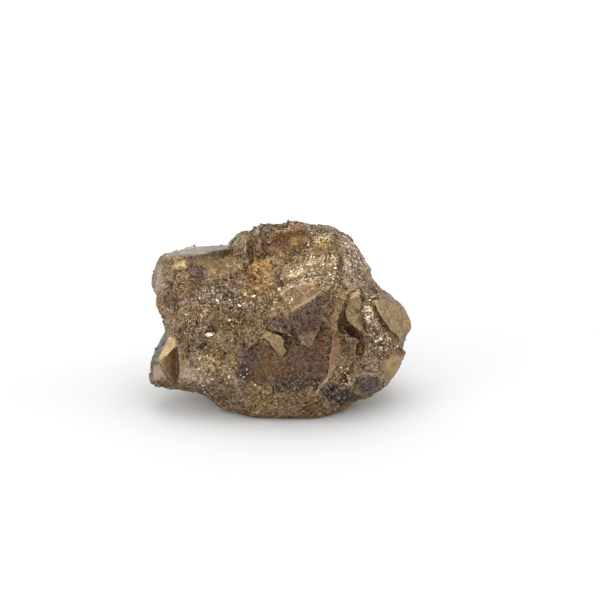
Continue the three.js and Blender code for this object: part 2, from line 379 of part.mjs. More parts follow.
const longestEdge = 2.5;
const grainSize = 2.6;
const grainRelief = 0.48;
const smoothShare = 0.2;
const frontCrystalCount = 60;
const backCrystalCount = 40;
const crystalSmallest = 0.8;
const crystalLargest = 1.6;
const crystalSunk = 0.36;
const crystalRimGap = 1.6;
const crystalLowest = 2.5;
const fullShareArea = 1.5;

// Behind the left and right ends the outline turns into walls, which draw in a little as they go back.
const wallInset = 0.955;
const wallDepth = 3.6;
const wallMiddle = [0, 16.5];
const leftWall = [1, 21];
const rightWall = [51, 82];

// A repeatable stream of numbers from 0 to 1.
function stream(seed) {
  let state = seed >>> 0;
  return () => {
    state = (state + 0x6d2b79f5) >>> 0;
    let mixed = Math.imul(state ^ (state >>> 15), state | 1);
    mixed ^= mixed + Math.imul(mixed ^ (mixed >>> 7), mixed | 61);
    return ((mixed ^ (mixed >>> 14)) >>> 0) / 4294967296;
  };
}

// Delaunay triangles of flat points, by adding one point at a time.
function delaunay(points) {
  const far = 1000;
  const all = [...points, [-far, -far], [far, -far], [0, far]];
  const count = points.length;
  const circled = (i, j, k) => {
    const [ax, ay] = all[i];
    const [bx, by] = all[j];
    const [cx, cy] = all[k];
    const twice = 2 * (ax * (by - cy) + bx * (cy - ay) + cx * (ay - by));
    const [a2, b2, c2] = [ax * ax + ay * ay, bx * bx + by * by, cx * cx + cy * cy];
    const x = (a2 * (by - cy) + b2 * (cy - ay) + c2 * (ay - by)) / twice;
    const y = (a2 * (cx - bx) + b2 * (ax - cx) + c2 * (bx - ax)) / twice;
    return { corners: [i, j, k], x, y, reach: (ax - x) ** 2 + (ay - y) ** 2 };
  };
  let triangles = [circled(count, count + 1, count + 2)];
  points.forEach(([x, y], p) => {
    const rim = new Map();
    const kept = [];
    for (const t of triangles) {
      if ((x - t.x) ** 2 + (y - t.y) ** 2 > t.reach) {
        kept.push(t);
        continue;
      }
      const [i, j, k] = t.corners;
      for (const [from, to] of [[i, j], [j, k], [k, i]]) {
        if (!rim.delete(to + "," + from)) rim.set(from + "," + to, [from, to]);
      }
    }
    for (const [from, to] of rim.values()) kept.push(circled(from, to, p));
    triangles = kept;
  });
  return triangles.map((t) => t.corners).filter((t) => t.every((i) => i < count));
}

function inside([x, y], loop) {
  let within = false;
  loop.forEach(([ax, ay], i) => {
    const [bx, by] = loop[(i + 1) % loop.length];
    if (ay > y !== by > y && x < ((bx - ax) * (y - ay)) / (by - ay) + ax) within = !within;
  });
  return within;
}

// One name for the edge between two corners, whichever comes first.
function pair(i, j) {
  return Math.min(i, j) + "," + Math.max(i, j);
}

function halfway(from, to) {
  return from.map((value, axis) => (value + to[axis]) / 2);
}

// A sheet of points and of the creases that its triangles have to follow.
class Sheet {
  constructor() {
    this.points = [];
    this.creases = [];
  }
  add([across, up, behind]) {
    const near = this.points.findIndex((p) => Math.hypot(p[0] - across, p[1] - up) < 0.05);
    if (near >= 0) return near;
    this.points.push([across, up, behind]);
    return this.points.length - 1;
  }
  crease(line) {
    const corners = line.map((point) => this.add(point));
    corners.slice(1).forEach((to, i) => this.creases.push([corners[i], to]));
  }
  // The places where two creases cross each other away from a shared point.
  crossings() {
    const places = [];
    this.creases.forEach(([a, b], i) => {
      for (const [c, d] of this.creases.slice(i + 1)) {
        if (a === c || a === d || b === c || b === d) continue;
        const [p, q, r, s] = [a, b, c, d].map((corner) => this.points[corner]);
        const side = (u, v, w) => (v[0] - u[0]) * (w[1] - u[1]) - (v[1] - u[1]) * (w[0] - u[0]);
        if (side(p, q, r) * side(p, q, s) < 0 && side(r, s, p) * side(r, s, q) < 0) {
          places.push([p, q, r, s].map((u) => `(${u[0]}, ${u[1]})`).join(" "));
        }
      }
    });
    return places;
  }
  // Splits each crease that the triangles cross until they all follow it.
  conform() {
    const places = this.crossings();
    if (places.length) throw new Error("creases cross at\n" + places.join("\n"));
    for (let round = 0; round < 12; round++) {
      const triangles = delaunay(this.points);
      const edges = new Set();
      for (const [i, j, k] of triangles) edges.add(pair(i, j)).add(pair(j, k)).add(pair(k, i));
      const broken = this.creases.filter(([a, b]) => a !== b && !edges.has(pair(a, b)));
      if (!broken.length) return triangles;
      for (const [a, b] of broken) {
        const middle = this.points.push(halfway(this.points[a], this.points[b])) - 1;
        const place = this.creases.findIndex((crease) => crease[0] === a && crease[1] === b);
        this.creases.splice(place, 1, [a, middle], [middle, b]);
      }
    }
    throw new Error("the triangles don't follow the creases");
  }
}

// Splits the outline wherever a crease comes so close to it that the triangles would cut across it.
// Both sheets then follow one and the same outline.
const rimClearance = 1.15;
function cleared(loop, points) {
  for (;;) {
    const split = [];
    loop.forEach((from, i) => {
      const to = loop[(i + 1) % loop.length];
      const middle = halfway(from, to);
      const reach = Math.hypot(to[0] - middle[0], to[1] - middle[1]) * rimClearance;
      const near = ([x, y]) => Math.hypot(x - middle[0], y - middle[1]) < reach;
      split.push(from);
      if (points.some(near)) split.push(middle);
    });
    if (split.length === loop.length) return loop;
    loop = split;
  }
}

function toEye(line) {
  return line.map(([x, y, z]) => look(new THREE.Vector3(x, y, z)));
}

// Every second corner of a stretch of the outline, drawn in and set back.
function wall([first, last]) {
  const corners = swayed.slice(first, last).filter((point, i) => i % 2 === 0);
  return corners.map(([across, up, behind]) => [
    wallMiddle[0] + (across - wallMiddle[0]) * wallInset,
    wallMiddle[1] + (up - wallMiddle[1]) * wallInset,
    behind + wallDepth,
  ]);
}

const frontLines = Object.values(front);
const backLines = [...Object.values(back).map(toEye), wall(leftWall), wall(rightWall)];
const rim = cleared(swayed, [...frontLines, ...backLines].flat());

// The corners and triangles of one sheet, within the outline.
function sheetOf(lines) {
  const sheet = new Sheet();
  sheet.crease([...rim, rim[0]]);
  for (const line of lines) sheet.crease(line);
  const middle = (triangle, axis) =>
    triangle.reduce((sum, corner) => sum + sheet.points[corner][axis], 0) / triangle.length;
  const triangles = sheet.conform().filter((t) => inside([middle(t, 0), middle(t, 1)], rim));
  return { points: sheet.points, triangles };
}

// Halves every edge that is too long, in each triangle that it borders.
function refine({ points, triangles }, longest) {
  const halves = new Map();
  const size = (i, j) => seen(points[i]).distanceTo(seen(points[j]));
  const half = (i, j) => {
    const key = pair(i, j);
    if (!halves.has(key)) {
      const short = size(i, j) <= longest;
      halves.set(key, short ? -1 : points.push(halfway(points[i], points[j])) - 1);
    }
    return halves.get(key);
  };
  const finer = [];
  for (const corners of triangles) {
    const cuts = corners.map((corner, at) => half(corner, corners[(at + 1) % 3]));
    const count = cuts.filter((cut) => cut >= 0).length;
    // Turned so that the first edge is cut, and the last one isn't unless all three are.
    const turn = [0, 1, 2].find((t) => cuts[t] >= 0 && (count === 3 || cuts[(t + 2) % 3] < 0)) ?? 0;
    const [a, b, c] = [0, 1, 2].map((at) => corners[(at + turn) % 3]);
    const [ab, bc, ca] = [0, 1, 2].map((at) => cuts[(at + turn) % 3]);
    if (count === 0) finer.push([a, b, c]);
    if (count === 1) finer.push([a, ab, c], [ab, b, c]);
    if (count === 2) finer.push([ab, b, bc], [a, ab, bc], [a, bc, c]);
    if (count === 3) finer.push([a, ab, ca], [ab, b, bc], [bc, c, ca], [ab, bc, ca]);
  }
  if (finer.length === triangles.length) return { points, triangles };
  return refine({ points, triangles: finer }, longest);
}

// How far the surface stands out where grown-together grains meet: each grain is a tilted flat.
function grain(point) {
  const cell = point.clone().divideScalar(grainSize).floor();
  let nearest = Infinity;
  let height = 0;
  for (let n = 0; n < 27; n++) {
    const corner = cell.clone().add(at((n % 3) - 1, (Math.floor(n / 3) % 3) - 1, Math.floor(n / 9) - 1));
    const next = stream(corner.x * 73856093 + corner.y * 19349663 + corner.z * 83492791);
    const middle = corner.add(at(next(), next(), next())).multiplyScalar(grainSize);
    const away = point.distanceTo(middle);
    if (away >= nearest) continue;
    nearest = away;
    const tilt = at(next() - 0.5, next() - 0.5, next() - 0.5);
    height = next() - 0.5 + tilt.dot(point.clone().sub(middle)) * 0.7;
  }
  return THREE.MathUtils.clamp(height, -1, 1);
}

function roughnessAt([across, up]) {
  const within = smoothFaces.some(([a, u, reach]) => Math.hypot(across - a, up - u) < reach);
  return within ? smoothShare : 1;
}

// Grain relief moves points along the line of sight alone, so that a sheet never folds over itself.
function roughen({ points, triangles }, share) {
  const onRim = new Set(rim.map((point) => point.join()));
  const moved = points.map((point) => {
    const place = seen(point);
    if (onRim.has(point.join()) || place.z < 0.3) return point;
    const [across, up, behind] = point;
    const edge = Math.min(1, Math.abs(behind - rimDepth(point)) / 1.5);
    return [across, up, behind + grain(place) * grainRelief * share(point) * edge];
  });
  return { points: moved, triangles };
}

// The outline's corner that is nearest to a point, how deep it lies and how far away it is.
function nearestRim([across, up]) {
  const away = ([a, u]) => Math.hypot(a - across, u - up);
  return rim.reduce((best, point) => (away(point) < away(best) ? point : best));
}

function rimDepth(point) {
  return nearestRim(point)[2];
}

function rimDistance([across, up]) {
  const [a, u] = nearestRim([across, up]);
  return Math.hypot(a - across, u - up);
}

const frontSheet = roughen(refine(sheetOf(frontLines), longestEdge), roughnessAt);
const backSheet = roughen(refine(sheetOf(backLines), longestEdge), () => 0.8);

const positions = [];
const faces = [];
function lay({ points, triangles }, turned) {
  const base = positions.length / 3;
  for (const point of points) positions.push(...seen(point));
  for (const [i, j, k] of triangles) {
    faces.push(base + i, ...(turned ? [base + k, base + j] : [base + j, base + k]));
  }
}
lay(frontSheet, false);
lay(backSheet, true);

const skin = mergeVertices(
  new THREE.BufferGeometry()
    .setAttribute("position", new THREE.Float32BufferAttribute(positions, 3))
    .setIndex(faces),
  1e-3,
);

function solid(geometry) {
  const bare = geometry.clone();
  bare.deleteAttribute("normal");
  bare.deleteAttribute("uv");
  const merged = mergeVertices(bare, 1e-4);
  return new wasm.Manifold(
    new wasm.Mesh({
      numProp: 3,
      vertProperties: new Float32Array(merged.attributes.position.array),
      triVerts: new Uint32Array(merged.index.array),
    }),
  );
}

function block(edges, turn, place) {
  const spin = new THREE.Matrix4().makeRotationFromEuler(new THREE.Euler(...turn));
  return solid(new THREE.BoxGeometry(...edges).applyMatrix4(spin).translate(...place));
}

// Small cubes that grow out of the sugary places, with little more than a corner standing out.
function smallCrystals(sheet, turned, count, next) {
  const grown = [];
  while (grown.length < count) {
    const triangle = sheet.triangles[Math.floor(next() * sheet.triangles.length)];
    const [a, b, c] = triangle.map((corner) => seen(sheet.points[corner]));
    const face = new THREE.Triangle(...(turned ? [a, c, b] : [a, b, c]));
    const place = face.getMidpoint(new THREE.Vector3());
    const spot = look(place);
    const likely = face.getArea() / fullShareArea;
    const apart = place.z > crystalLowest && rimDistance(spot) > crystalRimGap;
    if (next() > likely || !apart || roughnessAt(spot) < 1) continue;
    const size = crystalSmallest + (crystalLargest - crystalSmallest) * next() ** 2;
    const edges = [size, size * (0.8 + 0.4 * next()), size * (0.8 + 0.4 * next())];
    const turn = [next() * Math.PI, next() * Math.PI, next() * Math.PI];
    place.addScaledVector(face.getNormal(new THREE.Vector3()), -size * crystalSunk);
    grown.push(block(edges, turn, place));
  }
  return grown;
}

const crystalStream = stream(20);
const frontCrystals = smallCrystals(frontSheet, false, frontCrystalCount, crystalStream);
const backCrystals = smallCrystals(backSheet, true, backCrystalCount, crystalStream);

const backBlocks = largeCrystals.map(({ middle, edges, turn }) =>
  block(edges, turn.map(THREE.MathUtils.degToRad), middle),
);

const belowFloor = new THREE.BoxGeometry(120, 120, 40).translate(0, 0, -20);
const lump = wasm.Manifold.union([solid(skin), ...backBlocks, ...frontCrystals, ...backCrystals])
  .subtract(solid(belowFloor));

function geometryOf(manifold) {
  const mesh = manifold.getMesh();
  return new THREE.BufferGeometry()
    .setAttribute("position", new THREE.BufferAttribute(mesh.vertProperties, 3))
    .setIndex(new THREE.BufferAttribute(mesh.triVerts, 1));
}

const pyrite = new THREE.Mesh(
  geometryOf(lump),
  new THREE.MeshStandardMaterial({ color: 0x8a7355, roughness: 0.45, metalness: 0.8 }),
);
pyrite.name = "pyrite_lump";

const specimen = new THREE.Group();
specimen.add(pyrite);
export default specimen;
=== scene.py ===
# %% [markdown]
# # A pyrite specimen
# The real thing is a lump of massive pyrite, small enough for a palm: crystals grown together, broken out
# of a larger mass, with smooth tarnished crystal faces, hollows and a sugary skin of tiny crystals.
# It could be sculpted by hand or scanned. Here the packed CAD solid gives every large form, and this
# script adds what a CAD solid leaves out: fine grain, small crystals, tarnish and stains, with painted
# shade in hollows and cracks and painted highlights on edges and grains.
# All lengths are in metres. A value that ends in _mm is in millimetres.

# %% Load the frame
import math

import bmesh
import bpy
import numpy as np
from mathutils import Euler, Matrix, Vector
from mathutils.kdtree import KDTree


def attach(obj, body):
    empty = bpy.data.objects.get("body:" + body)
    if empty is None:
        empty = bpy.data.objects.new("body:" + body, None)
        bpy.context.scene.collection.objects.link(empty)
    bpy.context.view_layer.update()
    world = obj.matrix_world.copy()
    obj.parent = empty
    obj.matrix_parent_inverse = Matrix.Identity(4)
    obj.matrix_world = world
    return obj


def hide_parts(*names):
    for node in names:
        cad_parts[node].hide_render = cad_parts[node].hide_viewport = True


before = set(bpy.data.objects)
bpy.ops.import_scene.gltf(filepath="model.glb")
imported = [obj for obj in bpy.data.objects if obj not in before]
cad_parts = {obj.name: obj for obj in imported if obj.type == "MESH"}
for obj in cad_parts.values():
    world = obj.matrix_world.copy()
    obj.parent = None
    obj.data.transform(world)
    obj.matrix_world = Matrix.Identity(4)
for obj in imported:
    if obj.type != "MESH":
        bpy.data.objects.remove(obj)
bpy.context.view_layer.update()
MM = 0.001
NODE = "pyrite_lump"

# %% [markdown]
# ## The eye
# The specimen was studied through one eye in front of it, which looks a little down. Every feature is
# therefore placed by how far across and up that eye sees it, in millimetres on an upright picture plane.
# The same numbers then place the camera, the crystal faces and the stains, so that they all agree.

# %% Where the eye is, and what it sees of a point
EYE_DISTANCE_MM = 450.0
EYE_ELEVATION = math.radians(22)
# the point it looks at, and where that point lies on the picture plane
AIM_MM = np.array([3.3, 4.0, 17.0])
AIM_ACROSS_MM = 3.3
AIM_UP_MM = 20.4
FRAME_WIDTH_MM = 103.05
SENSOR_MM = 36.0
CAMERA_CLIP = (0.01, 20)
EYE_UP = np.array([0.0, math.sin(EYE_ELEVATION), math.cos(EYE_ELEVATION)])
EYE_AHEAD = np.array([0.0, math.cos(EYE_ELEVATION), -math.sin(EYE_ELEVATION)])


def seen_from_eye(points):
    """Across, up and behind in millimetres, for points in metres."""
    arm = points / MM - AIM_MM
    behind = arm @ EYE_AHEAD
    spread = 1 + behind / EYE_DISTANCE_MM
    return AIM_ACROSS_MM + arm[:, 0] / spread, AIM_UP_MM + arm @ EYE_UP / spread, behind


def add_object(name, data):
    made = bpy.data.objects.new(name, data)
    bpy.context.scene.collection.objects.link(made)
    return made


def look_along(thing, place, way):
    """Put a camera or a light at a place, and turn it to look that way."""
    thing.location = place
    thing.rotation_euler = Vector(way).to_track_quat("-Z", "Y").to_euler()


def make_camera():
    data = bpy.data.cameras.new("camera")
    data.sensor_width = SENSOR_MM
    data.lens = SENSOR_MM * EYE_DISTANCE_MM / FRAME_WIDTH_MM
    data.clip_start, data.clip_end = CAMERA_CLIP
    camera = add_object("camera", data)
    look_along(camera, (AIM_MM - EYE_AHEAD * EYE_DISTANCE_MM) * MM, EYE_AHEAD)
    bpy.context.scene.camera = camera
    return camera


camera = make_camera()
print("camera lens in mm:", round(camera.data.lens, 1))

# %% [markdown]
# ## Fine grain on the solid
# A copy of the CAD solid is remeshed into even squares a sixth of a millimetre wide. A subdivision
# would keep its long thin triangles, and they would fold when the grain pushes them about.
# The grain itself is the same idea as in nature: space is filled with cells, each cell is one crystal,
# and each crystal's broken face has its own tilt and height. The mesh is then thinned, which empties
# the flat stretches and keeps the creases, so that every chip has crisp edges.

# %% Remesh a copy of the solid
VOXEL_MM = 0.16
MERGE_DISTANCE = 1e-6


def keep_result(piece, modifier):
    """Make what a modifier shows the piece's own plain mesh, and take the modifier off."""
    depsgraph = bpy.context.evaluated_depsgraph_get()
    made = bpy.data.meshes.new_from_object(piece.evaluated_get(depsgraph))
    piece.modifiers.remove(modifier)
    piece.data = made
    made.name = piece.name


def remeshed_copy(node, name):
    """A node's loose triangles, merged and then remeshed into even squares."""
    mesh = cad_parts[node].data.copy()
    merged = bmesh.new()
    merged.from_mesh(mesh)
    bmesh.ops.remove_doubles(merged, verts=merged.verts, dist=MERGE_DISTANCE)
    merged.to_mesh(mesh)
    merged.free()
    piece = add_object(name, mesh)
    remesh = piece.modifiers.new("even", "REMESH")
    remesh.mode = "VOXEL"
    remesh.voxel_size = VOXEL_MM * MM
    remesh.adaptivity = 0
    keep_result(piece, remesh)
    return piece


lump = remeshed_copy(NODE, "pyrite_skin")
print("skin:", len(lump.data.vertices), "corners,", len(lump.data.polygons), "faces")

# %% Read and write a mesh's corners as arrays


def rows_of(items, field, width, kind=np.float32):
    flat = np.empty(len(items) * width, kind)
    items.foreach_get(field, flat)
    return flat.reshape(-1, width)


def corners_of(mesh):
    return rows_of(mesh.vertices, "co", 3).astype(float)


def normals_of(mesh):
    return rows_of(mesh.vertices, "normal", 3).astype(float)


def move_corners(mesh, points):
    mesh.vertices.foreach_set("co", points.astype(np.float32).ravel())
    mesh.update()


def neighbour_mean(points, edges, rounds):
    """Points averaged with their neighbours along the edges, a number of times."""
    count = np.bincount(edges.ravel(), minlength=len(points)).astype(float)[:, None]
    for _ in range(rounds):
        total = np.zeros_like(points)
        np.add.at(total, edges[:, 0], points[edges[:, 1]])
        np.add.at(total, edges[:, 1], points[edges[:, 0]])
        points = (points + total / np.maximum(count, 1)) / 2
    return points


print("the skin's highest corner in mm:", round(float(corners_of(lump.data)[:, 2].max()) / MM, 1))

# %% Noise that depends on place alone
# large odd numbers that shuffle the bits of a cell's place
CELL_FACTORS = (73856093, 19349663, 83492791)
SALT_FACTOR = 2654435761
ROUND_FACTOR = 1274126177
ROUND_STEP = 374761393
WORD = 0xFFFFFFFF
FULL = 0xFFFFFF


def scatter(cell, salt):
    """Three repeatable numbers from 0 to 1 for each whole-numbered cell."""
    mixed = salt * SALT_FACTOR
    for axis, factor in enumerate(CELL_FACTORS):
        mixed = mixed ^ (cell[..., axis].astype(np.int64) * factor)
    numbers = []
    for turn in range(3):
        mixed = ((mixed ^ (mixed >> 13)) * ROUND_FACTOR + turn * ROUND_STEP) & WORD
        numbers.append(((mixed ^ (mixed >> 16)) & FULL) / FULL)
    return np.stack(numbers, -1)


def grains(points_mm, size_mm, salt):
    """Height and lightness of the grain that each point lies in, with grains about size_mm wide."""
    base = np.floor(points_mm / size_mm)
    best = np.full(len(points_mm), np.inf)
    height = np.zeros(len(points_mm))
    shade = np.zeros(len(points_mm))
    for step in np.ndindex(3, 3, 3):
        cell = base + np.array(step) - 1
        middle = (cell + scatter(cell, salt)) * size_mm
        away = points_mm - middle
        distance = (away**2).sum(1)
        near = distance < best
        best[near] = distance[near]
        tilt = scatter(cell[near], salt + 1) * 2 - 1
        level = scatter(cell[near], salt + 2)
        height[near] = level[:, 0] - 0.5 + (tilt * away[near]).sum(1) / size_mm
        shade[near] = level[:, 1]
    return np.clip(height, -1, 1), shade


def clouds(points_mm, size_mm, salt):
    """Soft noise from -1 to 1, with clouds about size_mm wide."""
    place = points_mm / size_mm
    base = np.floor(place)
    share = place - base
    share = share * share * (3 - 2 * share)
    total = np.zeros(len(points_mm))
    for step in np.ndindex(2, 2, 2):
        corner = np.array(step)
        weight = np.prod(np.where(corner == 1, share, 1 - share), axis=1)
        total += weight * scatter(base + corner, salt)[:, 0]
    return total * 2 - 1


def smooth_step(value, low, high):
    share = np.clip((value - low) / (high - low), 0, 1)
    return share * share * (3 - 2 * share)


def patches(points_mm, size_mm, salt, low, high):
    """Soft patches from 0 to 1: 0 where the clouds are under low, 1 where they are over high."""
    return smooth_step(clouds(points_mm, size_mm, salt), low, high)


# turned axes, so that the widest noise doesn't line up with the lump
ASKEW = np.array(Euler((0.6, 0.9, 0.4)).to_matrix())
print("grain test:", grains(np.array([[0.1, 0.2, 0.3]]), 1.0, 1)[0].round(3))

# %% [markdown]
# ## Crystal faces and sugary skin
# On the real lump some crystal faces are nearly plane, and the rest is a sugary mass of tiny crystals.
# Each plane face is given as the outline that the eye sees, with its colour, how smooth it is and how
# softly it ends. They could be painted by hand as a weight map, but a list of outlines can be read,
# changed and run again, and most corners lie on the creases of the solid, so that a colour ends where
# its face ends.

# %% The colours, from 0 to 255 as a screen shows them
SCREEN_COLOURS = {
    "brown": (140, 119, 94), "beige": (158, 137, 112), "sand": (168, 147, 119), "pale": (188, 169, 152),
    "cream": (222, 205, 174), "silver": (152, 140, 124), "stone": (106, 99, 88), "moss": (130, 119, 100),
    "slate": (100, 87, 74), "umber": (118, 94, 66), "olive": (136, 122, 84), "ochre": (172, 140, 94),
    "gold": (156, 129, 48), "tan": (168, 138, 102), "brass": (186, 164, 124), "rose": (146, 115, 98),
    "mauve": (140, 118, 112), "rust": (124, 86, 52), "fawn": (128, 109, 89), "dark": (96, 76, 59),
    "bark": (88, 68, 48), "shade": (86, 70, 62), "plum": (98, 80, 76), "dusk": (76, 65, 66),
    # the blackish brown (48, 34, 23) is painted shade, laid in hollows, pits, cracks and under ledges
    "ink": (54, 45, 46), "painted_shade": (48, 34, 23), "sun": (255, 226, 172), "glint": (250, 238, 214),
}
# a metal's colour looks washed out beside its reflections, so colours are made richer, dark ones more
RICHER_DARK = 1.92
RICHER_FALL = 1.0


def linear(colour):
    """A screen colour in linear light, made richer."""
    shares = np.array(colour) / 255
    richer = RICHER_DARK - RICHER_FALL * shares.mean()
    light = np.where(shares <= 0.04045, shares / 12.92, ((shares + 0.055) / 1.055) ** 2.4)
    grey = light.mean()
    return np.maximum(grey + (light - grey) * richer, 0)


PALETTE = {name: linear(colour) for name, colour in SCREEN_COLOURS.items()}
print("colours:", len(PALETTE))

